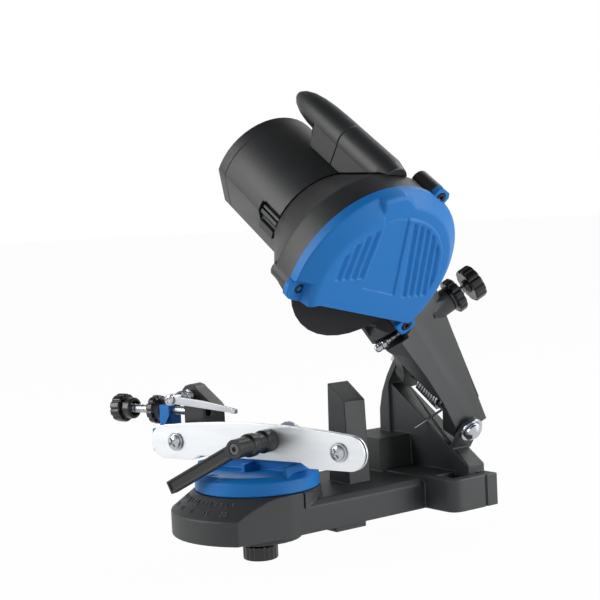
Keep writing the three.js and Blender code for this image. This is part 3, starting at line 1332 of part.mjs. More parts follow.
const atHandle = (shape) => shape.translate(handleReach, handleRise, 0);
const guardClear = turned([[0, bellEnd - gap], [bellEndRadius + gap * 2, bellEnd - gap],
  [guardShoulder + gap * 2, webRear - gap], [guardRadius + gap, webFace], [guardRadius + gap, 0], [0, 0]],
  36);
const motorClear = rod(motorRadius + gap, motorEnd - overrun, motorFront + overrun, 36);

// The web stands between the can and the grip, with an outline by place along the axis and by height
function handleWeb(outline) {
  return prism(outline, -handleReach - handleWebWidth / 2, -handleReach + handleWebWidth / 2)
    .rotateY(-Math.PI / 2);
}

function handleFrontHalf() {
  const seam = handleSeam + gap;
  const grip = atHandle(turned([[0, seam], [handleRadius, seam], [handleRadius, handleShoulder],
    [handleFrontRadius, handleFront], [0, handleFront]], 28));
  const web = handleWeb([[seam, 0], [handleShoulder, 0], [handleShoulder, handleRise], [seam, handleRise]]);
  return cut(join(grip, web), guardClear, motorClear);
}
add(spindle, 'handle_front', handleFrontHalf(), blackPlastic);

function handleRearHalf() {
  const length = handleTip - handleSeam;
  const profile = handleTipShares.map(([wide, far]) => [handleRadius * wide, handleSeam + length * far]);
  const grip = atHandle(turned(profile.reverse().concat([[0, handleSeam]]), 28));
  const web = handleWeb([[handleWebFoot, 0], [handleSeam, 0], [handleSeam, handleRise], [handleWebTop,
    handleRise]]);
  return cut(join(grip, web), motorClear);
}
add(spindle, 'handle_rear', handleRearHalf(), blackPlastic);

export default machine;
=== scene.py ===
import json
from math import atan2, cos, hypot, pi, radians, sin, tan

import bmesh
import bpy
from mathutils import Matrix, Vector


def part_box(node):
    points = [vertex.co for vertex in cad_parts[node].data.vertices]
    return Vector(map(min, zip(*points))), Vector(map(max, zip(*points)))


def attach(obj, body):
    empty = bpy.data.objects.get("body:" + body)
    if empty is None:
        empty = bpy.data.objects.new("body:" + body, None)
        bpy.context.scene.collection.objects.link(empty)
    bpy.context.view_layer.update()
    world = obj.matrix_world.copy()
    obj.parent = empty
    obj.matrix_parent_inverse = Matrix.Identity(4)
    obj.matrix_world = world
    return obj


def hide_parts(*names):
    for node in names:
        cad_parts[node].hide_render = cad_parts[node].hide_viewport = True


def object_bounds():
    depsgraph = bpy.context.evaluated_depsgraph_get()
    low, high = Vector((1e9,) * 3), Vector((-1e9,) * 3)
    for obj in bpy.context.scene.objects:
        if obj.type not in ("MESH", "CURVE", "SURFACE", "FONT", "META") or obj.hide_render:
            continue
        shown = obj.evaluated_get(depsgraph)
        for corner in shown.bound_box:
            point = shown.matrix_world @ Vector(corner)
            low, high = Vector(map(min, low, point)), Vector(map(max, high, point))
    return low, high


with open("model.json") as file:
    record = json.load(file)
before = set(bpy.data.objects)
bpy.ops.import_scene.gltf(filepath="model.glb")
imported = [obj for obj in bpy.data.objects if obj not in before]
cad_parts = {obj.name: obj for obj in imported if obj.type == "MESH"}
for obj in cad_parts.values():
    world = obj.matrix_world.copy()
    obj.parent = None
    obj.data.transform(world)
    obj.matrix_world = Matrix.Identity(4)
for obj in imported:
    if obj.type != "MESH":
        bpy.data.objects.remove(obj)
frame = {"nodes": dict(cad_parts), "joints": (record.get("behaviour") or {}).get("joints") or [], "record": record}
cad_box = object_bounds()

# Camera: a long lens in front of the right corner of the machine, a little above the rail plates.
# It stands where the photograph was taken and leans by the same small roll.
azimuth, elevation, roll = radians(52.74), radians(3.24), radians(-2.69)
across = Vector((cos(azimuth), sin(azimuth), 0))
ahead = Vector((-sin(azimuth) * cos(elevation), cos(azimuth) * cos(elevation), -sin(elevation)))
upward = across.cross(ahead)
camera_right = across * cos(roll) + upward * sin(roll)
camera_up = upward * cos(roll) - across * sin(roll)
camera_place = Vector((0.7258, -0.6404, 0.1981))
lens = bpy.data.cameras.new("photo_lens")
lens.lens, lens.sensor_width = 81.82, 36
camera = bpy.data.objects.new("photo_camera", lens)
bpy.context.scene.collection.objects.link(camera)
camera.matrix_world = Matrix.Translation(camera_place) @ Matrix(
    (camera_right, camera_up, -ahead)).transposed().to_4x4()
bpy.context.scene.camera = camera
bpy.context.scene.view_settings.view_transform = "Standard"

# Studio: a pale floor under the lowest knob, a white room, and four soft lamps round the machine.
# The room is white to the camera and to polished metal, and darker overhead, as in a product studio.
def link(tree, source, target):
    """Join an output of one node to an input of another"""
    tree.links.new(source, target)


def seen_directly(tree):
    """1 for camera, glossy and transmission rays, which see the white room, and 0 for light on the object"""
    path = tree.nodes.new("ShaderNodeLightPath")
    first = tree.nodes.new("ShaderNodeMath")
    second = tree.nodes.new("ShaderNodeMath")
    first.operation = second.operation = "MAXIMUM"
    link(tree, path.outputs["Is Camera Ray"], first.inputs[0])
    link(tree, path.outputs["Is Glossy Ray"], first.inputs[1])
    link(tree, first.outputs[0], second.inputs[0])
    link(tree, path.outputs["Is Transmission Ray"], second.inputs[1])
    return second.outputs[0], path.outputs["Is Camera Ray"]


world = bpy.data.worlds.new("white_room")
bpy.context.scene.world = world
world.use_nodes = True
room = world.node_tree
room.nodes.clear()
sky_direction = room.nodes.new("ShaderNodeTexCoord")
sky_split = room.nodes.new("ShaderNodeSeparateXYZ")
link(room, sky_direction.outputs["Generated"], sky_split.inputs[0])
overhead = room.nodes.new("ShaderNodeMapRange")
overhead.inputs["From Min"].default_value = 0.25
overhead.inputs["From Max"].default_value = 0.95
overhead.inputs["To Min"].default_value = 0.85
overhead.inputs["To Max"].default_value = 0.02
link(room, sky_split.outputs["Z"], overhead.inputs["Value"])
direct, by_camera = seen_directly(room)
glossy_or_white = room.nodes.new("ShaderNodeMix")
link(room, by_camera, glossy_or_white.inputs["Factor"])
link(room, overhead.outputs[0], glossy_or_white.inputs["A"])
glossy_or_white.inputs["B"].default_value = 1.0
light_or_seen = room.nodes.new("ShaderNodeMix")
link(room, direct, light_or_seen.inputs["Factor"])
room_fill = 0.18
light_or_seen.inputs["A"].default_value = room_fill
link(room, glossy_or_white.outputs["Result"], light_or_seen.inputs["B"])
room_light = room.nodes.new("ShaderNodeBackground")
room_light.inputs["Color"].default_value = (1, 1, 1, 1)
link(room, light_or_seen.outputs["Result"], room_light.inputs["Strength"])
room_output = room.nodes.new("ShaderNodeOutputWorld")
link(room, room_light.outputs[0], room_output.inputs[0])

floor_material = bpy.data.materials.new("pale_floor")
floor_material.use_nodes = True
tree = floor_material.node_tree
tree.nodes.clear()
pale = tree.nodes.new("ShaderNodeBsdfDiffuse")
pale.inputs["Color"].default_value = (0.9, 0.9, 0.9, 1)
white = tree.nodes.new("ShaderNodeEmission")
white.inputs["Strength"].default_value = 1.0
direct, by_camera = seen_directly(tree)
floor_whiteness = 0.975
white_share = tree.nodes.new("ShaderNodeMath")
white_share.operation = "MULTIPLY"
white_share.inputs[1].default_value = floor_whiteness
link(tree, direct, white_share.inputs[0])
blend = tree.nodes.new("ShaderNodeMixShader")
link(tree, white_share.outputs[0], blend.inputs[0])
link(tree, pale.outputs[0], blend.inputs[1])
link(tree, white.outputs[0], blend.inputs[2])
floor_output = tree.nodes.new("ShaderNodeOutputMaterial")
link(tree, blend.outputs[0], floor_output.inputs[0])

floor_size, floor_gap = 40.0, 0.0005
floor_height = cad_box[0].z - floor_gap
floor_mesh = bpy.data.meshes.new("studio_floor")
floor_corners = [(x * floor_size, y * floor_size, floor_height) for x, y in ((-1, -1), (1, -1), (1, 1), (-1, 1))]
floor_mesh.from_pydata(floor_corners, [], [(0, 1, 2, 3)])
studio_floor = bpy.data.objects.new("studio_floor", floor_mesh)
bpy.context.scene.collection.objects.link(studio_floor)
studio_floor.data.materials.append(floor_material)


def lamp(name, direction, distance, width, height, watts):
    """A soft rectangular lamp that looks at the middle of the machine from a direction"""
    middle = (cad_box[0] + cad_box[1]) / 2
    light = bpy.data.lights.new(name, "AREA")
    light.shape, light.size, light.size_y, light.energy = "RECTANGLE", width, height, watts
    stand = bpy.data.objects.new(name, light)
    away = Vector(direction).normalized()
    facing = away.to_track_quat("Z", "Y").to_matrix().to_4x4()
    stand.matrix_world = Matrix.Translation(middle + away * distance) @ facing
    bpy.context.scene.collection.objects.link(stand)


lamp("left_softbox", (-0.45, -0.85, 0.38), distance=1.5, width=0.6, height=1.2, watts=14.0)
lamp("back_softbox", (0.1, 0.75, 0.62), distance=1.5, width=1.2, height=0.6, watts=8.0)
lamp("right_softbox", (0.78, 0.6, 0.1), distance=1.5, width=0.8, height=1.0, watts=15.0)
lamp("front_softbox", (0.75, -0.65, 0.25), distance=1.8, width=0.9, height=0.9, watts=1.2)

# Base frame: one casting with the turntable's round seat in front and the stop post and hinge horn behind it.
# It is die cast in aluminium and painted satin black, with an angle scale on the slope round the seat.
MM = 0.001
record = frame["record"]
body_of = {node: body for body, nodes in record["behaviour"]["bodies"].items() for node in nodes}
joints = {joint["name"]: joint for joint in frame["joints"]}


def linear(red, green, blue):
    """A colour read from 0 to 255, as a linear value"""
    return tuple((c / 12.92) if c <= 0.04 else ((c + 0.055) / 1.055) ** 2.4
                 for c in (red / 255, green / 255, blue / 255)) + (1,)


def finish(name, colour, roughness, metallic=0.0, mottle=0.12, grain=1400.0, relief=0.08,
           stretch=(1, 1, 1), specular=0.5, edge_highlight_and_wear=None):
    """A material of mottled colour, uneven sheen and fine grain; its edges take the given edge colour, partly wear
    and partly a painted highlight
    """
    material = bpy.data.materials.new(name)
    material.use_nodes = True
    tree = material.node_tree
    shader = tree.nodes["Principled BSDF"]
    place = tree.nodes.new("ShaderNodeTexCoord")
    turn = tree.nodes.new("ShaderNodeMapping")
    turn.inputs["Scale"].default_value = stretch
    link(tree, place.outputs["Object"], turn.inputs["Vector"])
    clouds = tree.nodes.new("ShaderNodeTexNoise")
    clouds.inputs["Scale"].default_value = 35.0
    clouds.inputs["Detail"].default_value = 6
    fine = tree.nodes.new("ShaderNodeTexNoise")
    fine.inputs["Scale"].default_value = grain
    fine.inputs["Detail"].default_value = 3
    link(tree, turn.outputs[0], clouds.inputs["Vector"])
    link(tree, turn.outputs[0], fine.inputs["Vector"])
    both = tree.nodes.new("ShaderNodeMix")
    both.inputs["Factor"].default_value = 0.5
    link(tree, clouds.outputs["Fac"], both.inputs["A"])
    link(tree, fine.outputs["Fac"], both.inputs["B"])
    tone = tree.nodes.new("ShaderNodeValToRGB")
    tone.color_ramp.elements[0].position = 0.3
    tone.color_ramp.elements[1].position = 0.7
    tone.color_ramp.elements[0].color = tuple(c * (1 - mottle) for c in colour[:3]) + (1,)
    tone.color_ramp.elements[1].color = tuple(min(1.0, c * (1 + mottle)) for c in colour[:3]) + (1,)
    link(tree, both.outputs["Result"], tone.inputs["Fac"])
    shown = tone.outputs["Color"]
    # Convex edges, found by Pointiness, turn toward the lighter edge colour: partly edge wear, partly a painted
    # highlight along the edges
    if edge_highlight_and_wear:
        edges = tree.nodes.new("ShaderNodeNewGeometry")
        rim = tree.nodes.new("ShaderNodeMapRange")
        rim.inputs["From Min"].default_value = 0.52
        rim.inputs["From Max"].default_value = 0.62
        rim.inputs["To Max"].default_value = 0.6
        link(tree, edges.outputs["Pointiness"], rim.inputs["Value"])
        highlight_and_scuff = tree.nodes.new("ShaderNodeMix")
        highlight_and_scuff.data_type = "RGBA"
        link(tree, rim.outputs[0], highlight_and_scuff.inputs["Factor"])
        link(tree, shown, highlight_and_scuff.inputs[6])
        highlight_and_scuff.inputs[7].default_value = edge_highlight_and_wear
        shown = highlight_and_scuff.outputs[2]
    link(tree, shown, shader.inputs["Base Color"])
    uneven = 0.07
    sheen = tree.nodes.new("ShaderNodeMapRange")
    sheen.inputs["To Min"].default_value = roughness - uneven
    sheen.inputs["To Max"].default_value = roughness + uneven
    link(tree, clouds.outputs["Fac"], sheen.inputs["Value"])
    link(tree, sheen.outputs[0], shader.inputs["Roughness"])
    bump = tree.nodes.new("ShaderNodeBump")
    bump.inputs["Strength"].default_value = relief
    bump.inputs["Distance"].default_value = 0.0004
    link(tree, fine.outputs["Fac"], bump.inputs["Height"])
    link(tree, bump.outputs[0], shader.inputs["Normal"])
    shader.inputs["Metallic"].default_value = metallic
    shader.inputs["Specular IOR Level"].default_value = specular
    return material


def on_bench(mesh_or_text):
    """A passing object that holds a mesh or a text while modifiers work on it"""
    holder = bpy.data.objects.new("blank", mesh_or_text)
    bpy.context.scene.collection.objects.link(holder)
    return holder


def plain_mesh(holder):
    """The mesh that the object's modifiers leave; the modifiers and the object are thrown away"""
    depsgraph = bpy.context.evaluated_depsgraph_get()
    mesh = bpy.data.meshes.new_from_object(holder.evaluated_get(depsgraph))
    holder.modifiers.clear()
    bpy.data.objects.remove(holder)
    return mesh


def fasten(name, mesh, material, *nodes, crisp=32, body=None, slot=None):
    """Give a finished mesh its material and its body; it stands for the named solids, or rides with another piece"""
    mesh.polygons.foreach_set("use_smooth", [True] * len(mesh.polygons))
    mesh.set_sharp_from_angle(angle=radians(crisp))
    mesh.materials.clear()
    mesh.materials.append(material)
    holder = on_bench(mesh)
    even = holder.modifiers.new("even", "WEIGHTED_NORMAL")
    even.keep_sharp = True
    shaded = plain_mesh(holder)
    shaded.name = name
    piece = bpy.data.objects.new(name, shaded)
    bpy.context.scene.collection.objects.link(piece)
    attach(piece, body or body_of[nodes[0]])
    if nodes:
        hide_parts(*nodes)


def rounded(mesh, width, steps=2, corner=28):
    """The mesh with a small round along every corner, as a mould or a tumbling drum leaves it"""
    holder = on_bench(mesh)
    bevel = holder.modifiers.new("round", "BEVEL")
    bevel.width, bevel.segments = width * MM, steps
    bevel.limit_method, bevel.angle_limit = "ANGLE", radians(corner)
    bevel.use_clamp_overlap = False
    return plain_mesh(holder)


def merged_copy(*nodes, flat=1.0):
    """The solids' own mesh with its loose triangles merged and its flat areas made one face each"""
    shell = bmesh.new()
    for node in nodes:
        shell.from_mesh(frame["nodes"][node].data)
    bmesh.ops.remove_doubles(shell, verts=shell.verts, dist=2e-6)
    bmesh.ops.dissolve_limit(shell, angle_limit=radians(flat), verts=shell.verts, edges=shell.edges)
    mesh = bpy.data.meshes.new("copy")
    shell.to_mesh(mesh)
    shell.free()
    return mesh


def moulded(node, material, edge, steps=2, slot=None):
    """A piece with the solid's own shape and rounded corners"""
    fasten("real_" + node, rounded(merged_copy(node), edge, steps), material, node, slot=slot)


# Its edges are lighter grey: partly wear, partly a painted highlight along the edges
black_paint = finish("satin_black_casting", linear(46, 48, 49), 0.5, relief=0.2, grain=2200.0, specular=0.45,
                     edge_highlight_and_wear=linear(88, 90, 91))
moulded("base_frame", black_paint, edge=0.9, steps=3)


def socket(tree, name, kind):
    """A named input of a Geometry Nodes tree"""
    tree.interface.new_socket(name, in_out="INPUT", socket_type="NodeSocket" + kind)


def run_tree(tree, **values):
    """The plain mesh that a Geometry Nodes tree makes from its inputs"""
    holder = on_bench(bpy.data.meshes.new("blank"))
    made_by = holder.modifiers.new("made", "NODES")
    made_by.node_group = tree
    for item in tree.interface.items_tree:
        if item.in_out == "INPUT" and item.name in values:
            made_by[item.identifier] = values[item.name]
    return plain_mesh(holder)


def new_tree(name):
    """An empty Geometry Nodes tree with its group input and output"""
    tree = bpy.data.node_groups.new(name, "GeometryNodeTree")
    tree.interface.new_socket("Geometry", in_out="OUTPUT", socket_type="NodeSocketGeometry")
    return tree, tree.nodes.new("NodeGroupInput"), tree.nodes.new("NodeGroupOutput")


def arithmetic(tree, operation, *values):
    """The result of a Math node on one or two outputs"""
    node = tree.nodes.new("ShaderNodeMath")
    node.operation = operation
    for value, entry in zip(values, node.inputs):
        link(tree, value, entry)
    return node.outputs[0]


def finish_tree(tree, geometry, finish_socket, group_output):
    """Every tree ends in real geometry with its material set"""
    real = tree.nodes.new("GeometryNodeRealizeInstances")
    coat = tree.nodes.new("GeometryNodeSetMaterial")
    link(tree, geometry, real.inputs[0])
    link(tree, real.outputs[0], coat.inputs["Geometry"])
    link(tree, finish_socket, coat.inputs["Material"])
    link(tree, coat.outputs[0], group_output.inputs[0])


def bar_fan_tree():
    """Bars laid on a cone about the vertical axis, one at each step of an angle"""
    tree, given, result = new_tree("bars_on_a_cone")
    for name, kind in (("Count", "Int"), ("Start", "Float"), ("Step", "Float"), ("Radius", "Float"),
                       ("Height", "Float"), ("Slope", "Float"), ("Size", "Vector"), ("Finish", "Material")):
        socket(tree, name, kind)
    index = tree.nodes.new("GeometryNodeInputIndex")
    angle = arithmetic(tree, "ADD", given.outputs["Start"],
                       arithmetic(tree, "MULTIPLY", given.outputs["Step"], index.outputs[0]))
    place = tree.nodes.new("ShaderNodeCombineXYZ")
    for way, axis in (("COSINE", "X"), ("SINE", "Y")):
        link(tree, arithmetic(tree, "MULTIPLY", given.outputs["Radius"], arithmetic(tree, way, angle)),
             place.inputs[axis])
    link(tree, given.outputs["Height"], place.inputs["Z"])
    points = tree.nodes.new("GeometryNodePoints")
    link(tree, given.outputs["Count"], points.inputs["Count"])
    link(tree, place.outputs[0], points.inputs["Position"])
    turn = tree.nodes.new("ShaderNodeCombineXYZ")
    link(tree, given.outputs["Slope"], turn.inputs["Y"])
    link(tree, angle, turn.inputs["Z"])
    bar = tree.nodes.new("GeometryNodeMeshCube")
    link(tree, given.outputs["Size"], bar.inputs["Size"])
    laid = tree.nodes.new("GeometryNodeInstanceOnPoints")
    link(tree, points.outputs[0], laid.inputs["Points"])
    link(tree, bar.outputs[0], laid.inputs["Instance"])
    link(tree, turn.outputs[0], laid.inputs["Rotation"])
    finish_tree(tree, laid.outputs[0], given.outputs["Finish"], result)
    return tree


def combined(*meshes):
    """Several meshes as one"""
    shell = bmesh.new()
    for mesh in meshes:
        shell.from_mesh(mesh)
    mesh = bpy.data.meshes.new("combined")
    shell.to_mesh(mesh)
    shell.free()
    return mesh


def placed(mesh, place):
    """The same mesh, moved to its place"""
    mesh.transform(place)
    return mesh


turntable_centre = Vector(joints["vise_swivel"]["pos_m"])
turntable_centre.z = 0
seat_place = Matrix.Translation(turntable_centre) @ Matrix.Scale(MM, 4)
seat_radius, seat_height, fan_radius, fan_height = 42.0, 27.4, 57.2, 15.5
scale_slope = atan2(seat_height - fan_height, fan_radius - seat_radius)
front_of_seat, mark_inset = -pi / 2, 2.6


def scale_height(radius):
    """The height of the sloping scale at a radius from the turntable's axis"""
    return seat_height - (radius - seat_radius) * tan(scale_slope)


bars_on_a_cone = bar_fan_tree()
short_mark, long_mark, mark_width, mark_relief = 2.8, 4.6, 0.6, 0.7
marks = []
for count, first, step, length in ((15, -35, 5, short_mark), (5, -30, 15, long_mark)):
    middle = seat_radius + mark_inset + length / 2
    marks.append(run_tree(bars_on_a_cone, Count=count, Start=front_of_seat + radians(first), Step=radians(step),
                          Radius=middle, Height=scale_height(middle), Slope=scale_slope,
                          Size=(length, mark_width, mark_relief), Finish=black_paint))
number_size, number_radius, number_relief = 5.2, 52.4, 0.3
for degrees_marked in (-30, -15, 0, 15, 30):
    turn = front_of_seat + radians(degrees_marked)
    outward = Vector((cos(turn), sin(turn), 0))
    uphill = Vector((0, 0, sin(scale_slope))) - outward * cos(scale_slope)
    face = Vector((0, 0, cos(scale_slope))) + outward * sin(scale_slope)
    reading = uphill.cross(face)
    figure = bpy.data.curves.new("number", "FONT")
    figure.body, figure.size, figure.extrude = str(abs(degrees_marked)), number_size, number_relief
    figure.align_x, figure.align_y = "CENTER", "CENTER"
    cast = plain_mesh(on_bench(figure))
    middle = outward * number_radius + Vector((0, 0, scale_height(number_radius) + number_relief / 2))
    marks.append(placed(cast, Matrix.Translation(middle) @ Matrix((reading, uphill, face)).transposed().to_4x4()))
# The raised marks are coloured a lighter grey than the casting: a painted highlight on their glossy faces
scale_highlight_paint = finish("scale_marks_painted_highlight", linear(92, 94, 96), 0.35, relief=0.1)
fasten("angle_scale", placed(combined(*marks), seat_place), scale_highlight_paint, body="base", slot="black_casting")

# Swivel lock: a stud hangs from the turntable through the seat, with a large washer and a hand knob under the foot.
# Stud and washer are zinc-plated steel; the knob is moulded in black plastic.
zinc = finish("zinc_plated_steel", linear(186, 189, 193), 0.28, metallic=1.0, mottle=0.1, relief=0.05)
knob_black = finish("glossy_black_plastic", linear(22, 22, 23), 0.25, relief=0.04)


def sealed(shell):
    """A mesh with its doubles merged and its faces turned outwards"""
    bmesh.ops.remove_doubles(shell, verts=shell.verts, dist=1e-4)
    bmesh.ops.dissolve_degenerate(shell, edges=shell.edges, dist=1e-5)
    bmesh.ops.recalc_face_normals(shell, faces=shell.faces)
    mesh = bpy.data.meshes.new("turned")
    shell.to_mesh(mesh)
    shell.free()
    return mesh


def turned(profile, sides=96, flutes=0, flute_depth=0.0, flute_from=0.0, sharpness=3):
    """A closed profile of (radius, height) run round the axis; grips are pressed in beyond the radius flute_from"""
    shell = bmesh.new()
    rings = []
    for i in range(sides):
        angle = 2 * pi * i / sides
        wave = ((1 + cos(flutes * angle)) / 2) ** sharpness if flutes else 0
        ring = []
        for radius, height in profile:
            pressed = radius - flute_depth * wave if radius > flute_from else radius
            ring.append(shell.verts.new((pressed * cos(angle), pressed * sin(angle), height)))
        rings.append(ring)
    for i in range(sides):
        here, there = rings[i], rings[(i + 1) % sides]
        for j in range(len(profile)):
            k = (j + 1) % len(profile)
            if profile[j][0] or profile[k][0]:
                shell.faces.new((here[j], there[j], there[k], here[k]))
    return sealed(shell)


moulded("swivel_stud", zinc, 0.3)
moulded("swivel_washer", zinc, 0.3)
knob_foot, knob_top, knob_radius = -20.5, -8.7, 11.6
knob_face, knob_neck, knob_round, knob_hollow = 7.0, 9.4, 1.2, 4.4
swivel_profile = [(0, knob_foot + 1.0), (knob_face, knob_foot + 1.0), (knob_face + 0.6, knob_foot),
                  (knob_radius - knob_round, knob_foot), (knob_radius - 0.35, knob_foot + 0.35),
                  (knob_radius, knob_foot + knob_round), (knob_radius, knob_top - 3.2),
                  (knob_radius - 0.4, knob_top - 2.6), (knob_neck, knob_top - 2.2), (knob_neck, knob_top),
                  (knob_hollow, knob_top), (knob_hollow, knob_top - 2), (0, knob_top - 2)]
swivel_grip = turned(swivel_profile, sides=144, flutes=18, flute_depth=0.5, flute_from=10.8)
fasten("real_swivel_lock_knob", placed(swivel_grip, seat_place), knob_black, "swivel_lock_knob")

# Turntable: a blue moulded disc that turns on the seat, with the saddle that carries the rail plates.
# It is injection moulded in one piece round the head of the stud; the saddle's far end and the lug are cut short.
blue = finish("moulded_blue_plastic", linear(8, 118, 198), 0.5, relief=0.05, mottle=0.05, specular=0.4)


def local_frame(origin, x_axis, y_axis, z_axis):
    """From millimetres on a piece's own axes to the machine's metres"""
    return (Matrix.Translation(origin) @ Matrix((x_axis, y_axis, z_axis)).transposed().to_4x4()
            @ Matrix.Scale(MM, 4))


rail_axis = Vector(joints["stop_travel"]["axis"]).normalized()
upwards = Vector((0, 0, 1))
rail_rear = upwards.cross(rail_axis)
rail_place = local_frame(turntable_centre, rail_axis, rail_rear, upwards)
saddle_bottom, saddle_end, end_shortening = 42.0, 70.0, 0.45
lug_end, lug_bore, lug_lowering = -70.0, 73.0, 0.6
saddle_front = -8
turntable = merged_copy("turntable")
to_rail = rail_place.inverted()
for vertex in turntable.vertices:
    spot = to_rail @ vertex.co
    if spot.z > saddle_bottom and spot.x > saddle_end and spot.y > saddle_front:
        spot.x = saddle_end + (spot.x - saddle_end) * end_shortening
        vertex.co = rail_place @ spot
    if spot.x < lug_end and spot.z > lug_bore:
        spot.z = lug_bore + (spot.z - lug_bore) * lug_lowering
        vertex.co = rail_place @ spot
fasten("real_turntable", rounded(turntable, 0.7, 3), blue, "turntable")

# Pointer: a raised arrow and line on the front of the disc that reads against the angle scale.
# It is moulded with the disc and stands a fraction of a millimetre proud of it.
pointer_tip, pointer_back, pointer_half = 40.4, 32.0, 2.4
pointer_floor, pointer_top, pointer_line = 39.2, 39.75, 0.35


def prism(outline, low, high):
    """An upright slab of one outline"""
    shell = bmesh.new()
    below = [shell.verts.new((x, y, low)) for x, y in outline]
    above = [shell.verts.new((x, y, high)) for x, y in outline]
    shell.faces.new(below)
    shell.faces.new(above)
    for i in range(len(outline)):
        j = (i + 1) % len(outline)
        shell.faces.new((below[i], below[j], above[j], above[i]))
    return sealed(shell)


arrow = []
for side in (-1, 1):
    outline = [(side * pointer_half, -pointer_back), (side * (pointer_half - pointer_line * 2), -pointer_back),
               (0, -pointer_tip + pointer_line * 2), (0, -pointer_tip)]
    arrow.append(prism(outline, pointer_floor, pointer_top))
pointer_turn = Matrix.Rotation(-atan2(rail_axis.y, rail_axis.x), 4, "Z")
fasten("pointer", placed(combined(*arrow), rail_place @ pointer_turn), blue, body="vise", slot="blue_plastic")

# Rail plates: two steel plates on the saddle's front, with a narrow slot between them.
# They are stamped, rounded at both ends and ground bright along their length.
rail_steel = finish("ground_steel", linear(219, 222, 225), 0.36, metallic=1.0, mottle=0.04, relief=0.03,
                    stretch=(1, 1, 9))
for plate in ("rear_rail_plate", "front_rail_plate"):
    moulded(plate, rail_steel, 0.25)

# Rail screws: two pan-head screws draw the plates to the saddle, with a nut behind each.
# They are zinc-plated steel with a cross recess.
head_radius, head_back, head_front = 5.0, -10.9, -13.3
washer_radius, washer_thickness, washer_edge = 6.1, 1.1, 0.2
cross_width, cross_length, cross_depth, shank_radius = 1.7, 7.0, 2.0, 2.0
shank_tip, screw_height, left_screw, right_screw, cross_turn = -25.0, 55, -59.4, 71.1, 0.5


def carved(mesh, tool):
    """The first mesh with the second cut out of it"""
    holder, tool_holder = on_bench(mesh), on_bench(tool)
    cutter = holder.modifiers.new("cut", "BOOLEAN")
    cutter.object, cutter.operation, cutter.solver = tool_holder, "DIFFERENCE", "EXACT"
    left = plain_mesh(holder)
    bpy.data.objects.remove(tool_holder)
    shell = bmesh.new()
    shell.from_mesh(left)
    bmesh.ops.dissolve_limit(shell, angle_limit=radians(0.6), verts=shell.verts, edges=shell.edges)
    shell.to_mesh(left)
    shell.free()
    return left


def block(half_x, half_y, low, high):
    """An upright block about its own axis"""
    return prism([(-half_x, -half_y), (half_x, -half_y), (half_x, half_y), (-half_x, half_y)], low, high)


def pan_screw(shank_end):
    """A domed head with a cross pressed into it, a flat washer and a plain shank, along its own axis"""
    height = head_back - head_front
    dome = [(0, height), (head_radius * 0.45, height * 0.97), (head_radius * 0.8, height * 0.8),
            (head_radius * 0.97, height * 0.45), (head_radius, height * 0.15), (head_radius, 0), (0, 0)]
    head = turned(dome, sides=64)
    for half_x, half_y in ((cross_width / 2, cross_length / 2), (cross_length / 2, cross_width / 2)):
        head = carved(head, block(half_x, half_y, height - cross_depth, height + 1))
    washer = turned([(0, 0), (washer_radius - washer_edge, 0), (washer_radius, -washer_edge),
                     (washer_radius, washer_edge - washer_thickness),
                     (washer_radius - washer_edge, -washer_thickness), (0, -washer_thickness)], sides=64)
    shank = turned([(0, -0.5), (shank_radius, -0.5), (shank_radius, shank_end + 0.4),
                    (shank_radius - 0.4, shank_end), (0, shank_end)], sides=32)
    return combined(head, washer, shank)


outwards = -rail_rear
for side, along_rail in (("left", left_screw), ("right", right_screw)):
    seat = rail_place @ Vector((along_rail, head_back, screw_height))
    screw_place = local_frame(seat, rail_axis, outwards.cross(rail_axis), outwards)
    screw_place = screw_place @ Matrix.Rotation(cross_turn, 4, "Z")
    fasten("real_rail_screw_" + side, placed(pan_screw(shank_tip), screw_place), zinc, "rail_screw_" + side)
for fastener in ("rail_nut_left", "rail_nut_right"):
    moulded(fastener, zinc, 0.2)

# Clamp lever: a hand lever on the bolt that draws the rail plates together.
# It is moulded in black plastic over a zinc-plated bolt, and its screw is set in the hub.
# Its edges are lighter grey: partly wear, partly a painted highlight along the edges
lever_black = finish("moulded_black_plastic", linear(23, 24, 25), 0.34, relief=0.07, edge_highlight_and_wear=linear(48, 49, 51))
moulded("clamp_lever", lever_black, 0.35)
dark_steel = finish("blackened_screw_steel", linear(92, 93, 95), 0.38, metallic=0.9, relief=0.05)
moulded("lever_screw", dark_steel, 0.2)
for fastener in ("clamp_bolt", "clamp_washer"):
    moulded(fastener, zinc, 0.2)

# Stop bracket: a black bracket that slides behind the rail plates and carries a hinged pawl over them.
# The bracket is moulded plastic, the pawl is pressed steel, and a small torsion spring holds it down.
spring_wire = finish("drawn_spring_wire", linear(170, 173, 177), 0.26, metallic=1.0, mottle=0.1, relief=0.04)
bracket_middle, bracket_shortening = -58.0, 0.62
bracket = merged_copy("stop_bracket")
for vertex in bracket.vertices:
    spot = to_rail @ vertex.co
    if spot.x > bracket_middle:
        spot.x = bracket_middle + (spot.x - bracket_middle) * bracket_shortening
        vertex.co = rail_place @ spot
fasten("real_stop_bracket", rounded(bracket, 0.5), lever_black, "stop_bracket", slot="black_plastic")
moulded("pawl", zinc, 0.2)
moulded("pawl_pivot_screw", zinc, 0.2)
moulded("pawl_sleeve", zinc, 0.2, slot="zinc_steel")
fasten("real_pawl_spring", merged_copy("pawl_spring", flat=0.01), spring_wire, "pawl_spring", crisp=60)

# Stop adjuster: a threaded rod and its knob move the bracket along the rail, and a second knob locks it.
# Both knobs are moulded in black plastic with pressed grips; the rod is zinc-plated steel.
adjuster_behind, adjuster_height = 10, 73
adjuster_seat = rail_place @ Vector((0, adjuster_behind, adjuster_height))
adjuster_place = local_frame(adjuster_seat, rail_rear, upwards, rail_axis)


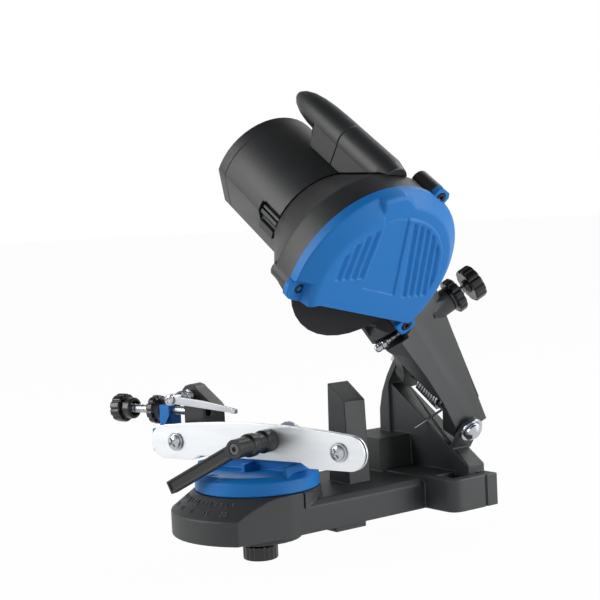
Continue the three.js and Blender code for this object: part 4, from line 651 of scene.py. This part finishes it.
def thread_tree():
    """A fine ridge wound round a rod from its own start, one turn for each pitch"""
    tree, given, result = new_tree("thread")
    for name in ("Radius", "Pitch", "Length", "Depth"):
        socket(tree, name, "Float")
    socket(tree, "Finish", "Material")
    spiral = tree.nodes.new("GeometryNodeCurveSpiral")
    spiral.inputs["Resolution"].default_value = 20
    turns = arithmetic(tree, "DIVIDE", given.outputs["Length"], given.outputs["Pitch"])
    link(tree, turns, spiral.inputs["Rotations"])
    for end in ("Start Radius", "End Radius"):
        link(tree, given.outputs["Radius"], spiral.inputs[end])
    link(tree, given.outputs["Length"], spiral.inputs["Height"])
    ridge = tree.nodes.new("GeometryNodeCurvePrimitiveCircle")
    ridge.inputs["Resolution"].default_value = 4
    link(tree, given.outputs["Depth"], ridge.inputs["Radius"])
    wound = tree.nodes.new("GeometryNodeCurveToMesh")
    link(tree, spiral.outputs[0], wound.inputs["Curve"])
    link(tree, ridge.outputs[0], wound.inputs["Profile Curve"])
    wound.inputs["Fill Caps"].default_value = True
    finish_tree(tree, wound.outputs[0], given.outputs["Finish"], result)
    return tree


thread = thread_tree()


def threaded_rod(radius, length, tip, pitch=1.25, depth=0.36):
    """A rod with a rounded tip at its start and a thread cut along it"""
    core, chamfer = radius - depth, 0.3
    outline = [(0, 0), (core - tip, 0), (core - tip * 0.3, tip * 0.3), (core, tip), (core, length - chamfer),
               (core - chamfer, length), (0, length)]
    rod = turned(outline, sides=40)
    ridge = run_tree(thread, Radius=core, Pitch=pitch, Length=length - tip * 2, Depth=depth, Finish=zinc)
    return combined(rod, placed(ridge, Matrix.Translation((0, 0, tip))))


adjuster_start, adjuster_end, rod_radius = -124.8, -52.0, 3.0
rod_mesh = threaded_rod(rod_radius, adjuster_end - adjuster_start, tip=1.0, pitch=1.0, depth=0.22)
rod_place = adjuster_place @ Matrix.Translation((0, 0, adjuster_start))
fasten("real_adjuster_screw", placed(rod_mesh, rod_place), zinc, "adjuster_screw", crisp=50)

rim_radius, knob_bore = 10.0, 3.1
knob_left, rim_right, knob_right = -127.1, -118.6, -111.5
neck_radius, well_radius, well_depth, dish_radius = 7.4, 5.4, 3.4, 6.4
adjuster_profile = [(0, knob_left + 0.6), (dish_radius, knob_left + 0.6),
                    (dish_radius + 0.6, knob_left), (rim_radius - 1.6, knob_left),
                    (rim_radius - 0.4, knob_left + 0.5), (rim_radius, knob_left + 1.6), (rim_radius, rim_right - 1.0),
                    (rim_radius - 0.6, rim_right), (neck_radius, rim_right + 0.3), (neck_radius, knob_right - 0.7),
                    (neck_radius - 0.5, knob_right), (well_radius, knob_right),
                    (well_radius, knob_right - well_depth),
                    (knob_bore, knob_right - well_depth), (knob_bore, knob_left + 3), (0, knob_left + 3)]
adjuster_grip = turned(adjuster_profile, sides=160, flutes=10, flute_depth=0.9, flute_from=7.5, sharpness=6)
fasten("real_adjuster_knob", placed(adjuster_grip, adjuster_place), knob_black, "adjuster_knob")

lock_left, lock_rim, lock_right = -93.5, -88.2, -84.3
lock_profile = [(knob_bore, lock_left + 1.2), (5.0, lock_left + 1.2),
                (6.2, lock_left), (rim_radius - 1.2, lock_left),
                (rim_radius - 0.3, lock_left + 0.4), (rim_radius, lock_left + 1.3), (rim_radius, lock_rim - 0.6),
                (rim_radius - 0.5, lock_rim), (7.8, lock_rim + 0.8), (6.8, lock_right), (knob_bore, lock_right)]
lock_grip = turned(lock_profile, sides=160, flutes=10, flute_depth=0.9, flute_from=8.3, sharpness=6)
fasten("real_adjuster_lock_knob", placed(lock_grip, adjuster_place), knob_black, "adjuster_lock_knob")

# Arm: the cast beam that carries the motor, forked at its foot round the horn and the return spring.
# It is cast and painted like the base, and cut open under the guard so that the tip of the depth screw lies bare.
wheel_axis = Vector(joints["wheel_spin"]["axis"]).normalized()
depth_axis = Vector(joints["depth_travel"]["axis"]).normalized()
knob_from_tip = 82
depth_tip = Vector(joints["depth_turn"]["pos_m"]) - depth_axis * knob_from_tip * MM
depth_place = local_frame(depth_tip, wheel_axis.cross(depth_axis), wheel_axis, depth_axis)
channel_half, channel_floor, channel_top = 4.6, -4.2, 60
channel_start, channel_end, channel_turn = -20, 20.0, -50.3
channel = prism([(-channel_half, channel_floor), (channel_half, channel_floor), (channel_half, channel_top),
                 (-channel_half, channel_top)], channel_start, channel_end)
channel_place = depth_place @ Matrix.Rotation(radians(channel_turn), 4, "Z")
arm_shell = carved(merged_copy("arm_casting"), placed(channel, channel_place))
fasten("real_arm_casting", rounded(arm_shell, 0.6, steps=3, corner=40), black_paint, "arm_casting")

# Hinge: a bolt, a washer and a nut through the fork, and the spring that lifts the head, wound round a sleeve.
# The hardware is zinc plated; the spring is wound from bright wire.
for fastener in ("hinge_bolt", "hinge_washer", "hinge_nut"):
    moulded(fastener, zinc, 0.25)
moulded("spring_sleeve", lever_black, 0.3)
fasten("real_return_spring", merged_copy("return_spring", flat=0.01), spring_wire, "return_spring", crisp=60)

# Grinding wheel: a bonded disc between two flanges, held by a nut on the motor shaft.
# The wheel is dark abrasive; flanges and nut are plated steel.
stone = finish("bonded_abrasive", linear(50, 50, 52), 0.88, relief=0.9, grain=1900.0, mottle=0.3, specular=0.3)
moulded("grinding_wheel", stone, 0.4)
for part in ("inner_flange", "outer_flange", "wheel_nut"):
    moulded(part, zinc, 0.3)

# Guard: a black bell behind the wheel and a blue ribbed cover in front of it, held by three socket screws.
# Both are injection moulded; the cover has a broad bevel at its left, a sunk panel and two fields of ribs.
# Its edges are lighter grey: partly wear, partly a painted highlight along the edges
shell_black = finish("textured_black_plastic", linear(37, 38, 40), 0.44, relief=0.16, grain=2000.0, specular=0.45,
                     edge_highlight_and_wear=linear(72, 73, 75))
moulded("guard_back", shell_black, 0.6, 3)
to_rear = Vector((0, 1, 0))
up_wheel = wheel_axis.cross(to_rear)
wheel_place = local_frame(Vector(joints["wheel_spin"]["pos_m"]), to_rear, up_wheel, wheel_axis)
cover_radius, cover_back, cover_wall = 63.0, 7.0, 2.0
left_profile = [(49, 20), (51, 19.5), (62.2, 13.8), (63, 13.0)]
top_profile = [(46, 20), (47.5, 18.7), (59.5, 18.2), (62, 16.8), (63, 14.6)]
right_profile = [(46, 20), (47.5, 18.6), (53.5, 18.4), (62, 12.0), (63, 11.0)]
left_crease, right_crease_out, right_crease_in, left_foot = 110, 94, 79, 215
crease_turn, crease_start = 1.6, 50
seat_from, seat_to, seat_inner, seat_level, seat_edge = 178.5, 212, 54.0, 11.5, 1.2
cut_drop, cut_lean, cut_turn = 33.3, tan(radians(26.2)), radians(-14.7)
panel_corners = [(-15.5, 44.1), (-15.1, -2.5), (14.3, -10.1), (1.9, 47.5)]
panel_depth, panel_edge = 0.9, 0.7
rib_depth, field_radius, field_edge = 1.5, 43.8, 1.6
rib_fields = [dict(first=16.4, level=15, pitch=5.4, count=5, lean=radians(15), foot=-12.5),
              dict(first=-37.4, level=15, pitch=5.9, count=4, lean=0, foot=5.0)]


def along(profile, radius):
    """The level of a profile at a radius"""
    if radius <= profile[0][0]:
        return profile[0][1]
    for (inner, low), (outer, high) in zip(profile, profile[1:]):
        if radius <= outer:
            return low + (high - low) * (radius - inner) / (outer - inner)
    return profile[-1][1]


def step(value, edge, width):
    """0 below the edge and 1 above it, with a soft change of the given width"""
    share = min(1, max(0, (value - edge) / width + 0.5))
    return share * share * (3 - 2 * share)


def inside_panel(y, u):
    """1 within the sunk panel, 0 outside it"""
    depth = 1.0
    for (y0, u0), (y1, u1) in zip(panel_corners, panel_corners[1:] + panel_corners[:1]):
        side = ((y1 - y0) * (u - u0) - (u1 - u0) * (y - y0)) / hypot(y1 - y0, u1 - u0)
        depth = min(depth, step(side, 0, panel_edge))
    return depth


def cover_level(radius, turn):
    """How far the cover's outside stands from the wheel at a place on its face"""
    y, u = radius * cos(turn), radius * sin(turn)
    degrees_round = (turn * 180 / pi) % 360
    out = min(1, max(0, (radius - crease_start) / (cover_radius - crease_start)))
    right_crease = right_crease_in + (right_crease_out - right_crease_in) * out
    left = step(degrees_round, left_crease, crease_turn) * (1 - step(degrees_round, left_foot, crease_turn))
    top = step(degrees_round, right_crease, crease_turn) * (1 - step(degrees_round, left_crease, crease_turn))
    level = (left * along(left_profile, radius) + top * along(top_profile, radius)
             + (1 - left - top) * along(right_profile, radius))
    seat = step(degrees_round, seat_from, seat_edge) * (1 - step(degrees_round, seat_to, seat_edge))
    seat *= step(radius, seat_inner, seat_edge)
    level += (min(level, seat_level) - level) * seat
    level -= panel_depth * inside_panel(y, u)
    for field in rib_fields:
        across = ((y - field["first"]) * cos(field["lean"]) + (u - field["level"]) * sin(field["lean"]))
        if -field["pitch"] / 2 < across < field["pitch"] * (field["count"] - 0.5):
            groove = (1 + cos(2 * pi * across / field["pitch"])) / 2
            within = (1 - step(radius, field_radius, field_edge)) * step(u, field["foot"], field_edge)
            level -= rib_depth * groove * within
    return level


cut_search = 0.1


def cover_reach(turn):
    """The radius at which the slanting lower cut ends the cover"""
    radius = cover_radius
    while radius > 1:
        y, u = radius * cos(turn), radius * sin(turn)
        level = cover_level(radius, turn)
        if -y * sin(cut_turn) + u * cos(cut_turn) >= -cut_drop + cut_lean * level:
            return radius
        radius -= cut_search
    return radius


crease_radii = [44.6, 46, 46.8, 47.5, 49, 50, 51, 52.2, 53.5, 55, 56.5, 58, 59.5, 60.6, 61.6, 62, 62.5, 63]
ring_pitch, plain_rings, cover_steps = 0.78, 57, 420
cover_radii = [ring_pitch * i for i in range(plain_rings)] + crease_radii
skin = bmesh.new()
spokes = []
for i in range(cover_steps):
    turn = 2 * pi * i / cover_steps
    reach = cover_reach(turn)
    spoke = []
    for radius in cover_radii:
        r = min(radius, reach)
        spoke.append(skin.verts.new((r * cos(turn), r * sin(turn), cover_level(r, turn))))
    if reach > cover_radius - cut_search / 2:
        spoke.append(skin.verts.new((cover_radius * cos(turn), cover_radius * sin(turn), cover_back)))
    else:
        spoke.append(skin.verts.new(spoke[-1].co))
    spokes.append(spoke)
for i in range(cover_steps):
    here, there = spokes[i], spokes[(i + 1) % cover_steps]
    for j in range(len(cover_radii)):
        skin.faces.new((here[j], here[j + 1], there[j + 1], there[j]))
outer_skin = sealed(skin)
holder = on_bench(outer_skin)
wall = holder.modifiers.new("wall", "SOLIDIFY")
wall.thickness, wall.offset, wall.use_even_offset = cover_wall, -1, True
cover_shell = plain_mesh(holder)
tab_inner, tab_outer, tab_half, tab_cut, tab_top, side_tab_reach = -7.0, 6.0, 6.4, 2.6, 11.6, 2.5
well_floor, well_width = cover_back + 1.2, 3.9
tab_outline = [(tab_inner, -tab_half), (tab_outer - tab_cut, -tab_half), (tab_outer, -tab_half + tab_cut),
               (tab_outer, tab_half - tab_cut), (tab_outer - tab_cut, tab_half), (tab_inner, tab_half)]
well = turned([(0, well_floor), (well_width, well_floor), (well_width, tab_top + 2), (0, tab_top + 2)], sides=40)
tabs = []
for number in (1, 2, 3):
    low, high = [wheel_place.inverted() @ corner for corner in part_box(f"guard_screw_{number}")]
    centre = (low + high) / 2
    turn = atan2(centre.y, centre.x)
    reach = side_tab_reach if number == 1 else 0
    outline = [(x + (reach if x > 0 else 0), y) for x, y in tab_outline]
    tab = carved(prism(outline, cover_back, tab_top), well)
    tabs.append(placed(tab, Matrix.Translation((centre.x, centre.y, 0)) @ Matrix.Rotation(turn, 4, "Z")))
soft_tabs = rounded(placed(combined(*tabs), Matrix.Scale(MM, 4)), 0.5, 3)
cover_mesh = combined(cover_shell, placed(soft_tabs, Matrix.Scale(1 / MM, 4)))
fasten("real_guard_cover", placed(cover_mesh, wheel_place), blue, "guard_cover", crisp=38)
screw_black = finish("blackened_socket_steel", linear(36, 36, 38), 0.35, metallic=0.6, relief=0.05)
for number in (1, 2, 3):
    moulded(f"guard_screw_{number}", screw_black, 0.25)

# Depth stop: a threaded rod through the arm that meets the post and sets how deep the wheel grinds.
# The rod is zinc-plated steel, with a black knob on its end and a lock ring against the boss.
depth_rod = threaded_rod(rod_radius, length=84.5, tip=1.4)
fasten("real_depth_screw", placed(depth_rod, depth_place), zinc, "depth_screw", crisp=50)
moulded("depth_bush", zinc, 0.2)
grip_radius, ring_low, ring_high = 12.2, 62.0, 70.0
ring_profile = [(knob_bore, ring_low), (8.6, ring_low), (9.0, ring_low + 1.6),
                (grip_radius - 0.8, ring_low + 1.8),
                (grip_radius, ring_low + 2.6), (grip_radius, ring_high - 1.0), (grip_radius - 0.9, ring_high),
                (6.4, ring_high), (5.6, ring_high - 0.8), (knob_bore, ring_high - 0.8)]
lock_ring = turned(ring_profile, sides=192, flutes=12, flute_depth=0.9, flute_from=10.0, sharpness=6)
fasten("real_depth_lock_ring", placed(lock_ring, depth_place), knob_black, "depth_lock_ring")
grip_low, grip_high, hub_low = 77.5, 86.5, 75.6
grip_profile = [(knob_bore, hub_low), (4.6, hub_low), (5.2, grip_low + 0.2), (grip_radius - 0.9, grip_low),
                (grip_radius, grip_low + 0.9), (grip_radius, grip_high - 1.6), (grip_radius - 0.5, grip_high - 0.5),
                (grip_radius - 1.6, grip_high), (8.2, grip_high), (7.6, grip_high - 0.7), (0, grip_high - 0.7),
                (0, grip_low + 7.2), (knob_bore, grip_low + 7.2)]
depth_grip = turned(grip_profile, sides=192, flutes=12, flute_depth=0.9, flute_from=10.0, sharpness=6)
fasten("real_depth_knob", placed(depth_grip, depth_place), knob_black, "depth_knob")

# Motor housing: a black can behind the bell with flats on its far side, closed by a cap.
# It is moulded in glass-filled plastic with a fine texture, and a ribbed latch lies in a hollow at its left.
room_turn, room_half, room_floor, room_out = radians(180.5), 9.2, 36.0, 80
room_back, room_front = -66.5, -30.0
room_outline = [(room_floor, -room_half), (room_out, -room_half), (room_out, room_half), (room_floor, room_half)]
latch_room = placed(prism(room_outline, room_back, room_front), wheel_place @ Matrix.Rotation(room_turn, 4, "Z"))
can = rounded(carved(merged_copy("motor_housing"), latch_room), 0.35)
fasten("real_motor_housing", can, shell_black, "motor_housing")
moulded("rear_cap", shell_black, 0.5, 3)
latch_root, latch_end = room_floor - 0.8, -47.0
latch_bars = []
for turn, half, top, low in ((171.5, 0.9, 39.2, -65.0), (176.2, 1.3, 39.8, -65.0),
                             (181.4, 0.9, 38.6, -61.0), (188.0, 2.6, 40.2, -63.0)):
    bar = prism([(latch_root, -half), (top, -half), (top, half), (latch_root, half)], low, latch_end)
    latch_bars.append(placed(bar, Matrix.Rotation(radians(turn), 4, "Z")))
latch = placed(combined(*latch_bars), wheel_place)
fasten("latch_ribs", rounded(latch, 0.25), shell_black, body="head", slot="black_plastic")

# Motor: shaft, bearings, armature, commutator, magnets, brushes and fan inside the can.
# None shows from outside; each has its own metal or ceramic finish.
copper = finish("turned_copper", linear(176, 104, 66), 0.32, metallic=1.0, mottle=0.1)
brass = finish("turned_brass", linear(190, 158, 92), 0.3, metallic=1.0, mottle=0.1)
sheets = finish("stacked_steel_sheets", linear(118, 122, 128), 0.42, metallic=1.0, stretch=(1, 1, 12))
ferrite = finish("ground_ferrite", linear(64, 62, 60), 0.7, relief=0.3)
for part, metal in (("motor_shaft", rail_steel), ("rear_bearing", rail_steel), ("front_bearing", rail_steel),
                    ("armature", sheets), ("commutator", copper), ("magnet_lower", ferrite),
                    ("magnet_upper", ferrite), ("brush_upper", brass), ("brush_lower", brass),
                    ("cooling_fan", lever_black)):
    moulded(part, metal, 0.2)

# Switch and cable gland on the far side of the can: a rocker in a bezel, and a ribbed rubber sleeve.
# All three are black plastic or rubber.
moulded("switch_bezel", lever_black, 0.4)
moulded("power_switch", knob_black, 0.4)
moulded("cable_gland", shell_black, 0.3)

# Handle: a bullet-shaped grip along the top of the can, in two moulded halves with a seam round it.
# It is black plastic with a fine texture, and stands on a web that follows the can.
moulded("handle_front", shell_black, 0.8, 3)
moulded("handle_rear", shell_black, 0.8, 3)
